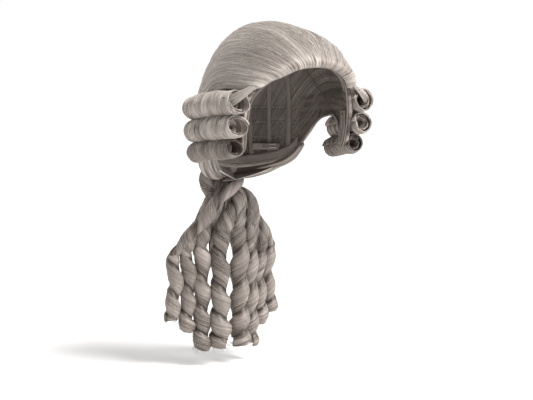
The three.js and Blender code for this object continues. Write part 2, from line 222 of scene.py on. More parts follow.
# ------------------------------------------------------------------ mesh making
def make_mesh(name, verts, quads=None, tris=None, attrs=None, smooth_shade=True):
    me = bpy.data.meshes.new(name)
    quads = np.zeros((0, 4), np.int64) if quads is None else np.asarray(quads)
    tris = np.zeros((0, 3), np.int64) if tris is None else np.asarray(tris)
    v = np.asarray(verts, np.float64).reshape(-1, 3) * S
    me.vertices.add(len(v))
    me.vertices.foreach_set("co", v.astype(np.float32).ravel())
    me.loops.add(quads.size + tris.size)
    me.loops.foreach_set("vertex_index", np.concatenate([quads.ravel(), tris.ravel()]).astype(np.int32))
    me.polygons.add(len(quads) + len(tris))
    starts = np.concatenate([np.arange(len(quads)) * 4, quads.size + np.arange(len(tris)) * 3])
    me.polygons.foreach_set("loop_start", starts.astype(np.int32))
    me.update(calc_edges=True)
    if smooth_shade:
        me.polygons.foreach_set("use_smooth", np.ones(len(me.polygons), bool))
    for key, val in (attrs or {}).items():
        val = np.asarray(val, np.float32)
        if val.ndim == 1:
            a = me.attributes.new(key, "FLOAT", "POINT")
            a.data.foreach_set("value", val)
        else:
            a = me.attributes.new(key, "FLOAT_VECTOR", "POINT")
            a.data.foreach_set("vector", val.ravel())
    me.update()
    ob = bpy.data.objects.new(name, me)
    bpy.context.scene.collection.objects.link(ob)
    return ob


def add_uv(ob, uv):
    me = ob.data
    layer = me.uv_layers.new(name="OFBake")
    idx = np.empty(len(me.loops), np.int32)
    me.loops.foreach_get("vertex_index", idx)
    layer.data.foreach_set("uv", uv[idx].astype(np.float32).ravel())


def place(ob, body, replaces=()):
    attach(ob, body)
    if replaces:
        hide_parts(*replaces)


class Batch:
    """Collects several surfaces into one mesh."""

    def __init__(self):
        self.v, self.q, self.t, self.tone, self.fib, self.uv, self.n = [], [], [], [], [], [], 0

    def _add(self, v, tone, fib, uv=None):
        v = np.asarray(v, float).reshape(-1, 3)
        self.uv.append(np.zeros((len(v), 2)) + 0.5 if uv is None else np.asarray(uv, float).reshape(-1, 2))
        self.v.append(v)
        self.tone.append(np.broadcast_to(np.asarray(tone, float).ravel() if np.ndim(tone) else np.full(len(v), float(tone)), (len(v),)))
        self.fib.append(np.asarray(fib, float).reshape(-1, 3) if fib is not None else v)
        base = self.n
        self.n += len(v)
        return base

    def grid(self, p, tone=0.5, fib=None, wrap_u=False, wrap_v=False, flip=False):
        nu, nv = p.shape[:2]
        uv = np.stack(np.meshgrid(np.linspace(0, 1, nu), np.linspace(0, 1, nv), indexing="ij"), -1)
        b = self._add(p, tone, fib, uv)
        i = np.arange(nu if wrap_u else nu - 1)
        j = np.arange(nv if wrap_v else nv - 1)
        I, J = np.meshgrid(i, j, indexing="ij")
        I2, J2 = (I + 1) % nu, (J + 1) % nv
        q = np.stack([I * nv + J, I2 * nv + J, I2 * nv + J2, I * nv + J2], -1).reshape(-1, 4) + b
        self.q.append(q[:, ::-1] if flip else q)
        return b

    def slab(self, outer, inner, tone_o=0.5, tone_i=0.3, fib_o=None, fib_i=None):
        """A closed sheet between two matching grids."""
        nu, nv = outer.shape[:2]
        a = self.grid(outer, tone_o, fib_o)
        b = self.grid(inner, tone_i, fib_i, flip=True)
        loop = np.concatenate([np.arange(nv - 1), np.arange(nu - 1) * nv + nv - 1,
                               (nu - 1) * nv + np.arange(nv - 1, 0, -1), np.arange(nu - 1, 0, -1) * nv])
        nxt = np.roll(loop, -1)
        self.q.append(np.stack([a + loop, a + nxt, b + nxt, b + loop], -1))

    def tubes(self, paths, ref, radius, sides=3, tone=None, seed=0, flat=1.0):
        """Thin fibres along paths (n, m, 3). ref (n, m, 3) or (3,) is about square to them."""
        paths = np.asarray(paths, float)
        n, m = paths.shape[:2]
        t = unit(np.gradient(paths, axis=1))
        r = np.broadcast_to(np.asarray(ref, float), paths.shape)
        a = unit(r - t * np.sum(r * t, -1, keepdims=True))
        b = np.cross(t, a)
        rad = np.broadcast_to(np.asarray(radius, float), (n, m)) if np.ndim(radius) != 1 else np.broadcast_to(np.asarray(radius)[:, None], (n, m))
        ang = np.arange(sides) * 2 * np.pi / sides + np.pi / 2
        ring = (a[:, :, None, :] * (np.sin(ang)[None, None, :, None] * flat) + b[:, :, None, :] * np.cos(ang)[None, None, :, None])
        v = paths[:, :, None, :] + ring * rad[:, :, None, None]
        rng = np.random.default_rng(seed + 991)
        tn = rng.uniform(0.25, 0.8, n) if tone is None else np.broadcast_to(tone, (n,))
        tone_v = np.broadcast_to(tn[:, None, None], (n, m, sides))
        s = np.linspace(0, 1, m)[None, :, None]
        length = np.linalg.norm(np.diff(paths, axis=1), axis=-1).sum(1)
        fib = np.stack(np.broadcast_arrays(rng.uniform(0, 200, n)[:, None, None], s * length[:, None, None], np.zeros(1)), -1)
        fib = np.broadcast_to(fib, (n, m, sides, 3))
        uv = np.stack(np.broadcast_arrays(tn[:, None, None], s), -1)
        uv = np.broadcast_to(uv, (n, m, sides, 2))
        base = self._add(v, tone_v, fib, uv)
        i, j, k = np.meshgrid(np.arange(n), np.arange(m - 1), np.arange(sides), indexing="ij")
        k2 = (k + 1) % sides
        f = lambda jj, kk: (i * m + jj) * sides + kk
        self.q.append(np.stack([f(j, k), f(j, k2), f(j + 1, k2), f(j + 1, k)], -1).reshape(-1, 4) + base)
        i = np.arange(n) * m * sides
        if sides == 3:
            self.t.append(np.stack([i + 2, i + 1, i], -1) + base)
            e = i + (m - 1) * 3
            self.t.append(np.stack([e, e + 1, e + 2], -1) + base)
        elif sides == 4:
            self.q.append(np.stack([i + 3, i + 2, i + 1, i], -1) + base)
            e = i + (m - 1) * 4
            self.q.append(np.stack([e, e + 1, e + 2, e + 3], -1) + base)

    def tube(self, path, ref, radius, sides=10, tone=0.5, fib=None):
        """One round cord with closed ends."""
        path = np.asarray(path, float)
        m = len(path)
        t, a, b = frames(path, ref)
        rad = np.broadcast_to(np.asarray(radius, float), (m,))
        ang = np.arange(sides) * 2 * np.pi / sides
        v = path[:, None] + (a[:, None] * np.cos(ang)[None, :, None] + b[:, None] * np.sin(ang)[None, :, None]) * rad[:, None, None]
        base = self._add(v, tone, None)
        j, k = np.meshgrid(np.arange(m - 1), np.arange(sides), indexing="ij")
        k2 = (k + 1) % sides
        self.q.append(np.stack([j * sides + k, j * sides + k2, (j + 1) * sides + k2, (j + 1) * sides + k], -1).reshape(-1, 4) + base)
        c = self._add(np.stack([path[0], path[-1]]), 0.5, None)
        k = np.arange(sides)
        k2 = (k + 1) % sides
        self.t.append(np.stack([np.full(sides, c), base + k2, base + k], -1))
        e = base + (m - 1) * sides
        self.t.append(np.stack([np.full(sides, c + 1), e + k, e + k2], -1))

    def build(self, name, material, body="cap", replaces=()):
        k = len(self.uv)
        uv = np.vstack([np.stack([0.004 + 0.992 * np.clip(a[:, 0], 0, 1), (i + 0.01 + 0.98 * np.clip(a[:, 1], 0, 1)) / k], -1)
                        for i, a in enumerate(self.uv)])
        ob = make_mesh(name, np.vstack(self.v), np.vstack(self.q) if self.q else None, np.vstack(self.t) if self.t else None,
                       {"tone": np.concatenate(self.tone), "fib": np.vstack(self.fib)})
        add_uv(ob, uv)
        ob.data.materials.append(material)
        place(ob, body, replaces)
        return ob


# -------------------------------------------------------------------- materials
def new_material(name):
    m = bpy.data.materials.new(name)
    m.use_nodes = True
    nt = m.node_tree
    nt.nodes.clear()
    out = nt.nodes.new("ShaderNodeOutputMaterial")
    b = nt.nodes.new("ShaderNodeBsdfPrincipled")
    nt.links.new(b.outputs[0], out.inputs[0])
    return m, nt, b


def ramp(nt, stops, fac):
    r = nt.nodes.new("ShaderNodeValToRGB")
    e = r.color_ramp.elements
    while len(e) > 1:
        e.remove(e[-1])
    e[0].position, e[0].color = stops[0][0], (*stops[0][1], 1)
    for p, c in stops[1:]:
        k = e.new(p)
        k.color = (*c, 1)
    nt.links.new(fac, r.inputs[0])
    return r.outputs[0]


def math_node(nt, op, a, b=None, clamp=False):
    n = nt.nodes.new("ShaderNodeMath")
    n.operation = op
    n.use_clamp = clamp
    for i, v in enumerate((a, b)):
        if v is None:
            continue
        if isinstance(v, (int, float)):
            n.inputs[i].default_value = v
        else:
            nt.links.new(v, n.inputs[i])
    return n.outputs[0]


def attribute(nt, name, out):
    a = nt.nodes.new("ShaderNodeAttribute")
    a.attribute_name = name
    return a.outputs[out]


def noise_tex(nt, vec, scale, stretch, detail=2.0, rough=0.5):
    m = nt.nodes.new("ShaderNodeMapping")
    m.inputs["Scale"].default_value = stretch
    nt.links.new(vec, m.inputs["Vector"])
    n = nt.nodes.new("ShaderNodeTexNoise")
    n.inputs["Scale"].default_value = scale
    n.inputs["Detail"].default_value = detail
    n.inputs["Roughness"].default_value = rough
    nt.links.new(m.outputs[0], n.inputs["Vector"])
    return n.outputs["Fac"]


def hair_material(name, dark, mid, light, rough=0.42):
    m, nt, b = new_material(name)
    tone = attribute(nt, "tone", "Fac")
    fib = attribute(nt, "fib", "Vector")
    fine = noise_tex(nt, fib, 1.0, (1.6, 0.035, 1.0), 3.0, 0.6)
    wide = noise_tex(nt, fib, 1.0, (0.22, 0.012, 1.0), 2.0, 0.5)
    x = math_node(nt, "ADD", tone, math_node(nt, "MULTIPLY", math_node(nt, "SUBTRACT", fine, 0.5), 0.34))
    x = math_node(nt, "ADD", x, math_node(nt, "MULTIPLY", math_node(nt, "SUBTRACT", wide, 0.5), 0.45), clamp=True)
    col = ramp(nt, [(0.0, dark), (0.38, mid), (0.9, light)], x)
    nt.links.new(col, b.inputs["Base Color"])
    r = math_node(nt, "ADD", math_node(nt, "MULTIPLY", fine, 0.16), rough - 0.08)
    nt.links.new(r, b.inputs["Roughness"])
    bump = nt.nodes.new("ShaderNodeBump")
    bump.inputs["Strength"].default_value = 0.35
    bump.inputs["Distance"].default_value = 0.0004
    nt.links.new(fine, bump.inputs["Height"])
    nt.links.new(bump.outputs[0], b.inputs["Normal"])
    b.inputs["Specular IOR Level"].default_value = 0.45
    b.inputs["Sheen Weight"].default_value = 0.12
    b.inputs["Sheen Roughness"].default_value = 0.4
    return m


HAIR = hair_material("wig_hair", (0.050, 0.036, 0.028), (0.315, 0.272, 0.243), (0.66, 0.615, 0.575))
# Darker colour ramp for the underside of the hair and the wefts inside the cap: painted shade.
HAIR_IN = hair_material("wig_hair_underside", (0.05, 0.04, 0.034), (0.17, 0.145, 0.125), (0.33, 0.295, 0.265), 0.5)


# ================================================================ camera, light
scene = bpy.context.scene
cam_data = bpy.data.cameras.new("camera")
cam_data.lens = 89.66
cam_data.sensor_width = 36
cam_data.sensor_fit = "HORIZONTAL"
cam_data.clip_start = 0.05
cam_data.clip_end = 30
camera = bpy.data.objects.new("camera", cam_data)
scene.collection.objects.link(camera)
CAM_POS = Vector((-0.80399, -1.26200, 0.10463))
CAM_DIR = Vector((0.52775, 0.84307, -0.10352))
camera.location = CAM_POS
camera.rotation_euler = CAM_DIR.to_track_quat("-Z", "Y").to_euler()
scene.camera = camera

floor = make_mesh("floor", np.array([[-9000, -9000, 0], [9000, -9000, 0], [9000, 9000, 0], [-9000, 9000, 0]], float) + [0, 0, -262], quads=[[0, 1, 2, 3]])
fm, fnt, fb = new_material("floor_paint")
fb.inputs["Base Color"].default_value = (0.95, 0.95, 0.95, 1)
fb.inputs["Roughness"].default_value = 0.9
floor.data.materials.append(fm)

world = bpy.data.worlds.new("studio")
scene.world = world
world.use_nodes = True
wt = world.node_tree
wn = wt.nodes["Background"]
wn.inputs[0].default_value = (1.0, 1.0, 1.0, 1)
wn.inputs[1].default_value = 0.42
seen = wt.nodes.new("ShaderNodeBackground")
seen.inputs[0].default_value = (1.0, 1.0, 1.0, 1)
seen.inputs[1].default_value = 1.0
wm = wt.nodes.new("ShaderNodeMixShader")
wp = wt.nodes.new("ShaderNodeLightPath")
wt.links.new(wp.outputs["Is Camera Ray"], wm.inputs[0])
wt.links.new(wn.outputs[0], wm.inputs[1])
wt.links.new(seen.outputs[0], wm.inputs[2])
wt.links.new(wm.outputs[0], wt.nodes["World Output"].inputs[0])

sun = bpy.data.lights.new("soft_key", "SUN")
sun.energy = 4.2
sun.angle = math.radians(28)
sun.color = (1.0, 0.985, 0.965)
sun_ob = bpy.data.objects.new("soft_key", sun)
sun_ob.rotation_euler = (-Vector((0.50, -1.15, 1.25))).to_track_quat("-Z", "Y").to_euler()
scene.collection.objects.link(sun_ob)


def area(name, loc, size, power, colour=(1, 1, 1), target=(0, 0.02, 0.0)):
    d = bpy.data.lights.new(name, "AREA")
    d.shape = "DISK"
    d.size = size
    d.energy = power
    d.color = colour
    o = bpy.data.objects.new(name, d)
    o.location = loc
    o.rotation_euler = (Vector(target) - Vector(loc)).to_track_quat("-Z", "Y").to_euler()
    scene.collection.objects.link(o)


area("fill_left", (-1.5, -0.9, 0.5), 1.3, 3.5, (1.0, 0.98, 0.95))
area("fill_right", (1.5, -1.25, 0.25), 1.0, 15, (1.0, 0.985, 0.97))
area("rim", (-0.9, 1.5, 1.1), 1.0, 9, (1.0, 0.97, 0.92))
area("back", (1.2, 1.3, 0.9), 1.2, 7, (1.0, 1.0, 1.0))

scene.view_settings.view_transform = "Standard"
scene.view_settings.look = "None"

# ============================================================ combed hair shell
sideZ = keyed([[0, 101], [10, 100.3], [20, 98], [28, 93.8], [35, 89.6], [43.5, 85], [49, 80], [54, 76.6], [58, 75.4], [64, 74.6], [80, 74],
               [100, 68.5], [112, 63], [122, 61], [180, 61]])
CROWN_TH = 0.98
A_SIDE = 84.0                  # lines above the rolls
A_LOW = 128.0                  # lines that start behind the rolls


def low_edge(deg):
    """Lowest height of the combed hair by azimuth."""
    a = np.abs(deg)
    front = sideZ(a)
    rear = rimZ(a) - 3
    return np.where(a < 99, front, np.minimum(front, rear + 46 * smooth(106, 99, a)))


def full_thick(deg, th):
    a = np.abs(deg)
    t = thick(deg, th)
    z = np.where(th >= 0, WIDE_Z + 96 * np.sin(th), WIDE_Z + 75 * np.sin(th))
    t = t - 2.7 * smooth(0.25, 0.6, th) * smooth(1.5, 1.1, th) - 1.0 * smooth(1.1, 1.5, th)
    t = t - 3.0 * smooth(0.45, 0.26, th) * smooth(48, 62, a) * smooth(126, 104, a)
    tight = smooth(66, 57, z) * smooth(126, 108, a)
    return lerp(t, np.minimum(t, 5.2), tight)


def clumps(x, y, seed, big=9.0, mid=3.6, fine=1.25, amp=(1.35, 0.62, 0.26)):
    """Height of locks of hair lying side by side: x across in mm, y along in mm."""
    warp = 3.2 * noise2(x / 46, y / 95, seed + 5)
    xw = x + warp
    n0 = np.abs(noise2(xw / big, y / 210, seed)) ** 0.65
    n1 = np.abs(noise2(xw / mid + 9, y / 120, seed + 1)) ** 0.7
    n2 = noise2(xw / fine + 4, y / 60, seed + 2)
    h = amp[0] * (n0 - 0.62) + amp[1] * (n1 - 0.55) + amp[2] * n2
    deep = np.minimum(n0 * 1.7, 1) * 0.6 + np.minimum(n1 * 1.7, 1) * 0.4      # 0 in the creases
    return h, deep


def tone_with_crease_shade(h, deep, x, y, seed):
    # Hair tone: deep (0 in the creases) darkens the creases and h lightens the ridges, which is painted crease shade;
    # patch, band, streak and fibre add random tone.
    patch = noise2(x / 24, y / 150, seed + 7)
    band = noise2(x / 5.5, y / 130, seed + 9)
    streak = noise2(x / 2.1, y / 95, seed + 10)
    fibre = noise2(x / 0.8, y / 70, seed + 8)
    return np.clip(0.02 + 0.40 * deep ** 1.3 + 0.12 * h + 0.14 * patch + 0.22 * band + 0.13 * streak + 0.06 * fibre, 0, 1)


# ends of every combed line, found once on a fine table
_al = np.linspace(-A_LOW, A_LOW, 257)
_be = np.linspace(6, 177, 685)
_P = cast(flow_dir(_al[:, None] * D, _be[None, :] * D), 9.0)
_deg, _th = az_lat(_P, 9.0)
_in = _P[..., 2] > low_edge(_deg)
_start, _end = np.zeros(len(_al)), np.zeros(len(_al))
for _i in range(len(_al)):
    k = np.where(_in[_i])[0]
    if len(k) == 0:
        _start[_i] = _end[_i] = np.nan
        continue
    runs = np.split(k, np.where(np.diff(k) > 1)[0] + 1)
    if abs(_al[_i]) <= A_SIDE:
        run = max(runs, key=len)
    else:
        rear = [r for r in runs if _be[r[-1]] > 100]
        run = max(rear, key=len) if rear else runs[-1]
        run = run[np.abs(_deg[_i][run]) > 99]
    _start[_i], _end[_i] = (_be[run[0]], _be[run[-1]]) if len(run) > 2 else (np.nan, np.nan)
_ok = ~np.isnan(_start)
A_MAX = float(np.max(np.abs(_al[_ok & (_end - _start > 12)])))


def line_range(al):
    """First and last position of combed lines at al degrees (numbers from the table)."""
    al = np.asarray(al, float)
    main = _ok & (np.abs(_al) <= A_SIDE)
    low = _ok & (np.abs(_al) > A_SIDE)
    out = np.zeros(al.shape + (2,))
    for sgn in (-1, 1):
        m = low & (_al * sgn > 0)
        o = np.argsort(_al[m])
        for c, src in enumerate((_start, _end)):
            out[..., c] = np.where(al * sgn > A_SIDE, np.interp(al, _al[m][o], src[m][o]), out[..., c])
    for c, src in enumerate((_start, _end)):
        out[..., c] = np.where(np.abs(al) <= A_SIDE, np.interp(al, _al[main], src[main]), out[..., c])
    return out[..., 0], out[..., 1]


def comb(al, be, lift=0.0, edge=None, ridges=True, seed=11, d=None):
    """Points on the combed hair's outer face."""
    dirs = flow_dir(al * D, be * D)
    base = cast(dirs, full_thick) if d is None else cast(dirs, d)
    x = al * 1.52                         # about millimetres across
    y = be * 1.62
    h, deep = clumps(x, y, seed)
    if not ridges:
        h = h * 0
    return base + dirs * (h + lift)[..., None], h, deep, x, y


def ridge(A, B, st, x, y, h, seed=11):
    """Ridge height, calm at the hairline and growing behind it, and the same factor for tone."""
    off = (B - st) * 1.62
    grow = lerp(lerp(0.34, 0.6, smooth(-4, -14, A)), 1.0, smooth(4, 34, off))
    h = h * np.clip(np.sin(B * D) * 1.05, 0.25, 1) * grow
    return h + 0.16 * noise2(x / 1.5, y / 30, seed + 33) * (1 - smooth(6, 22, off)), grow


def edge_profile(al, be, st, en):
    """0 at the start of a line, 1 where the hair has its full thickness."""
    e = (be - st) * 1.62
    jag = 1.3 * noise2(al / 1.7, 0 * al, 31) + 0.8 * noise2(al / 0.7, 0 * al, 32)
    wide = np.where(np.abs(al) > A_SIDE, 14.0, 12.0)
    t = np.clip((e + jag * smooth(0, 3, e)) / wide, 0, 1)
    p = np.sqrt(np.clip(1 - (1 - t) ** 2, 0, 1))
    # the lower edge over the rolls, and the edge at the nape
    side = np.clip((A_SIDE - np.abs(al)) / lerp(12.0, 5.0, smooth(30, 60, be)), 0, 1)
    ps = np.sqrt(np.clip(1 - (1 - side) ** 2, 0, 1))
    use = (np.abs(al) <= A_SIDE) * smooth(112, 98, be)
    p = p * lerp(1.0, 0.25 + 0.75 * ps, use)
    tail = np.clip((en - be) * 1.62 / 12, 0, 1)
    p = p * np.where(tail < 1, np.sqrt(np.clip(1 - 0.75 * (1 - tail) ** 2, 0, 1)), 1)
    return p


def shell_grid(a0, a1, step, rows, seed=11):
    al = np.linspace(a0, a1, int(round(abs(a1 - a0) / step)) + 1)
    st, en = line_range(al)
    v = np.linspace(0, 1, rows)
    v = v ** 1.35
    A = np.broadcast_to(al[:, None], (len(al), rows))
    B = st[:, None] + (en - st)[:, None] * v[None]
    p = edge_profile(A, B, st[:, None], en[:, None])
    dirs = flow_dir(A * D, B * D)
    full = cast(dirs, full_thick)
    root = cast(dirs, 1.7)
    x, y = A * 1.52, B * 1.62
    h, deep = clumps(x, y, seed)
    h, grow = ridge(A, B, st[:, None], x, y, h)
    deep = 1 - (1 - deep) * grow
    # a shallow parting where the combing divides above the forehead
    h = h - 2.5 * np.exp(-((A + 6.0 - 0.12 * (B - st[:, None])) / 1.3) ** 2) * np.exp(-((B - st[:, None]) / 13) ** 2)
    gap = np.linalg.norm(full - root, axis=-1)
    outer = root + dirs * ((gap * p + 0.55) + h * smooth(0, 0.75, p))[..., None]
    inner = cast(dirs, 1.5)
    hi = 0.22 * noise2(x / 1.6, y / 40, seed + 21)
    inner = inner - dirs * hi[..., None]
    # Painted shade: the tone darkens where the hair thins at its edges (p) and over the last 16 mm before the nape end
    # of each line. The 0.14 raises the whole tone.
    tone = (tone_with_crease_shade(h, deep, x, y, seed) + 0.14) * (0.55 + 0.45 * smooth(0, 0.5, p)) * (0.45 + 0.55 * smooth(0, 16, (en[:, None] - B) * 1.62))
    fib = np.stack([x, y, 0 * x], -1)
    return dict(outer=outer, inner=inner, tone=tone, fib=fib, A=A, B=B)


def region(c):
    """Which CAD node a piece of the shell belongs to."""
    deg, th = az_lat(c, 9.0)
    a = np.abs(deg)
    r = np.full(deg.shape, 4)                                   # back hair
    r = np.where(a < 122, np.where(c[..., 0] < 0, 1, 2), r)     # right, left side hair
    r = np.where(a < 45, 0, r)                                  # front hair
    r = np.where(th > CROWN_TH, 3, r)                           # crown
    r = np.where((c[..., 2] < 33) & (a >= 122), np.where(c[..., 0] < 0, 5, 6), r)
    return r


REGIONS = ["front_hair", "right_side_hair", "left_side_hair", "crown_hair", "back_hair", "nape_hair_right", "nape_hair_left"]


def shell_pieces():
    grids = [shell_grid(-A_SIDE, A_SIDE, 0.3, 96), shell_grid(-A_MAX, -A_SIDE, 0.35, 64), shell_grid(A_SIDE, A_MAX, 0.35, 64)]
    V, N, T, F, UVS, Q, R = [], [], [], [], [], [], []
    n = 0
    for gi, g in enumerate(grids):
        nu, nv = g["A"].shape
        du = np.gradient(g["outer"], axis=0)
        dv = np.gradient(g["outer"], axis=1)
        nrm = unit(np.cross(du, dv))
        out_dir = g["outer"] - FLOW_C
        nrm = np.where(np.sum(nrm * out_dir, -1, keepdims=True) < 0, -nrm, nrm)
        flip = np.sum(np.cross(du, dv)[nu // 2, nv // 2] * out_dir[nu // 2, nv // 2]) < 0
        i, j = np.meshgrid(np.arange(nu - 1), np.arange(nv - 1), indexing="ij")
        q = np.stack([i * nv + j, (i + 1) * nv + j, (i + 1) * nv + j + 1, i * nv + j + 1], -1).reshape(-1, 4)
        if flip:
            q = q[:, ::-1]
        c = g["outer"].reshape(-1, 3)[q].mean(1)
        Q.append(q + n)
        R.append(region(c))
        V.append(np.stack([g["outer"].reshape(-1, 3), g["inner"].reshape(-1, 3)], 1))
        T.append(g["tone"].ravel())
        F.append(g["fib"].reshape(-1, 3))
        N.append(nrm.reshape(-1, 3))
        uu, vv = np.meshgrid(np.linspace(0, 1, nu), np.linspace(0, 1, nv), indexing="ij")
        UVS.append(np.stack([uu, (vv * 0.98 + 0.01 + gi) / 3], -1).reshape(-1, 2))
        n += nu * nv
    V, T, F, N, UVS, Q, R = np.vstack(V), np.concatenate(T), np.vstack(F), np.vstack(N), np.vstack(UVS), np.vstack(Q), np.concatenate(R)
    made = []
    for r, name in enumerate(REGIONS):
        q = Q[R == r]
        used, inv = np.unique(q, return_inverse=True)
        q = inv.reshape(-1, 4)
        m = len(used)
        # boundary edges: used by one face only
        e = np.concatenate([np.stack([q[:, k], q[:, (k + 1) % 4]], 1) for k in range(4)])
        key = np.sort(e, 1)
        key = key[:, 0].astype(np.int64) * m + key[:, 1]
        uniq, first, cnt = np.unique(key, return_index=True, return_counts=True)
        b = e[first[cnt == 1]]
        wall = np.stack([b[:, 1], b[:, 0], b[:, 0] + m, b[:, 1] + m], 1)
        quads = np.vstack([q, q[:, ::-1] + m, wall])
        verts = np.vstack([V[used, 0], V[used, 1]])
        # Inner faces get a compressed, darker tone and the underside material: painted shade.
        tone = np.concatenate([T[used], 0.35 + 0.5 * (T[used] - 0.4)])
        fib = np.vstack([F[used], F[used] + [300, 0, 0]])
        uv = np.vstack([UVS[used] * [0.49, 1], UVS[used] * [0.49, 1] + [0.5, 0]])
        ob = make_mesh("hair_" + name, verts, quads=quads, attrs={"tone": tone, "fib": fib})
        add_uv(ob, uv)
        ob.data.materials.append(HAIR)
        ob.data.materials.append(HAIR_IN)
        mi = np.zeros(len(quads), np.int32)
        mi[len(q):2 * len(q)] = 1
        ob.data.polygons.foreach_set("material_index", mi)
        nn = np.vstack([N[used], -N[used]])
        ob.data.normals_split_custom_set_from_vertices([tuple(v) for v in nn])
        place(ob, "cap", [name])
        made.append(ob)
    return made


shell_pieces()


def strand_lines(n, seed, a_lim, lift=(0.15, 0.9), length=(60, 230), pts=18, wander=1.2):
    """Loose fibres lying on the combed hair."""
    rng = np.random.default_rng(seed)
    al = rng.uniform(-a_lim, a_lim, n)
    st, en = line_range(al)
    span = np.maximum(en - st, 4)
    ln = np.minimum(rng.uniform(*length, n) / 1.62, span)
    s0 = st + (span - ln) * rng.beta(0.8, 1.0, n)
    t = np.linspace(0, 1, pts)[None]
    B = s0[:, None] + ln[:, None] * t
    A = al[:, None] + wander * (rng.uniform(-1, 1, (n, 1)) * (t - 0.5) * 1.6 + 0.5 * np.sin(t * rng.uniform(2, 7, (n, 1)) + rng.uniform(0, 6, (n, 1))))
    A = np.clip(A, -A_MAX, A_MAX)
    st2, en2 = line_range(A)
    B = np.clip(B, np.minimum(st2, B.max()), en2)
    p = edge_profile(A, B, st2, en2)
    dirs = flow_dir(A * D, B * D)
    full, root = cast(dirs, full_thick), cast(dirs, 1.7)
    h, deep = clumps(A * 1.52, B * 1.62, 11)
    h, _ = ridge(A, B, st2, A * 1.52, B * 1.62, h)
    up = rng.uniform(*lift, n)[:, None] * np.sin(np.pi * np.clip(t, 0.0, 1.0)) ** 0.35 - 0.25
    gap = np.linalg.norm(full - root, axis=-1)
    P = root + dirs * (gap * p + 0.55 + h * smooth(0, 0.75, p) + up * smooth(0, 0.4, p + 0.3))[..., None]
    return P, dirs


for k, (n, seed) in enumerate(((1500, 501), (1500, 502))):
    P, dirs = strand_lines(n, seed, min(A_MAX, 100) if k else A_SIDE - 1)
    b = Batch()
    rng = np.random.default_rng(seed + 5)
    b.tubes(P, dirs, rng.uniform(0.10, 0.20, n), tone=rng.uniform(0.35, 0.85, n), seed=seed)
    b.build(f"loose_fibres_{k + 1}", HAIR)


# ===================================================================== side rolls
ROLLS = [
    (12.9, [[81.5, -50, 61.8], [89.3, -27, 60.0], [94.3, -2, 57.2], [94.0, 25, 53.4]]),
    (12.2, [[82.0, -48, 36.2], [89.5, -26, 34.4], [94.2, -2, 31.7], [93.7, 25, 27.9]]),
    (10.9, [[79.3, -36, 12.7], [86.6, -20, 11.2], [90.8, 2, 8.4], [90.3, 26, 4.4]]),
]
SIDES = (("right", -1), ("left", 1))


class Roll:
    """A curl wound round a long axis, open at both ends."""

    def __init__(self, s, i):
        r, pts = ROLLS[i]
        self.s, self.i, self.r = s, i, r
        self.path = spline([[s * x, y, z] for x, y, z in pts], 121)
        seg = np.linalg.norm(np.diff(self.path, axis=0), axis=1)
        self.len = seg.sum()
        t = unit(np.gradient(self.path, axis=0))
        up = np.array([0, 0, 1.0]) - t * t[:, 2:3]
        up = unit(up)
        out = np.cross(t, up)
        out = np.where((out[:, :1] * s) < 0, -out, out)
        self.t, self.up, self.out = t, up, out
        self.seed = 100 + 10 * i + (s > 0)

    def at(self, u):
        u = np.clip(u, -0.14, 1.08)
        k = np.linspace(0, 1, 121)
        uc = np.clip(u, 0, 1)
        g = lambda a: np.stack([np.interp(uc, k, a[:, c]) for c in range(3)], -1)
        p = g(self.path) + g(self.t) * ((u - uc) * self.len)[..., None]
        return p, g(self.t), unit(g(self.up)), unit(g(self.out))

    def radius(self, u, th):
        """th in degrees: 20 where the hair leaves the head, over the top, down and under, then
        spiralling in."""
        e = np.abs(2 * u - 1)
        k = 1.0 - 0.08 * e ** 5 - 0.022 * np.sin(9 * u + 1.7 * self.i) + 0.018 * np.sin(17 * u + 3.1 * self.i + th * D)
        base = self.r + 0.85
        inner = base - 2.6 * smooth(250, 400, th) - (self.r * 0.40) * smooth(380, 690, th)
        # the wound layers open out towards the front mouth
        open_ = 0.62 * smooth(0.17, -0.06, u) * smooth(300, 420, th)
        rr = lerp(inner, base - 1.9, open_)
        return rr * k + 0.7 * smooth(0.10, -0.08, u)

    def point(self, u, th, lift=0.0):
        a = th * D
        p, t, up, out = self.at(u)
        R = self.radius(u, th) + lift
        oval = 1.0 + 0.04 * np.cos(2 * a)
        return p + (-out * (np.cos(a) * R * oval)[..., None] + up * (np.sin(a) * R)[..., None])

    def height(self, u, th):
        x = u * self.len - 0.035 * (th - 180) + 1.2 * np.sin(th * D * 0.9 + self.i)
        y = th * D * self.r
        h, deep = clumps(x, y, self.seed, big=7.4, mid=2.9, fine=1.1, amp=(0.85, 0.34, 0.12))
        return h, 1 - (1 - deep) * 0.72, x, y


def mouth(th):
    """How far the front edge of a roll stands back: it reaches forward next to the face and below."""
    return -3.6 - 5.4 * np.cos(th * D) + 3.3 * np.sin(th * D)


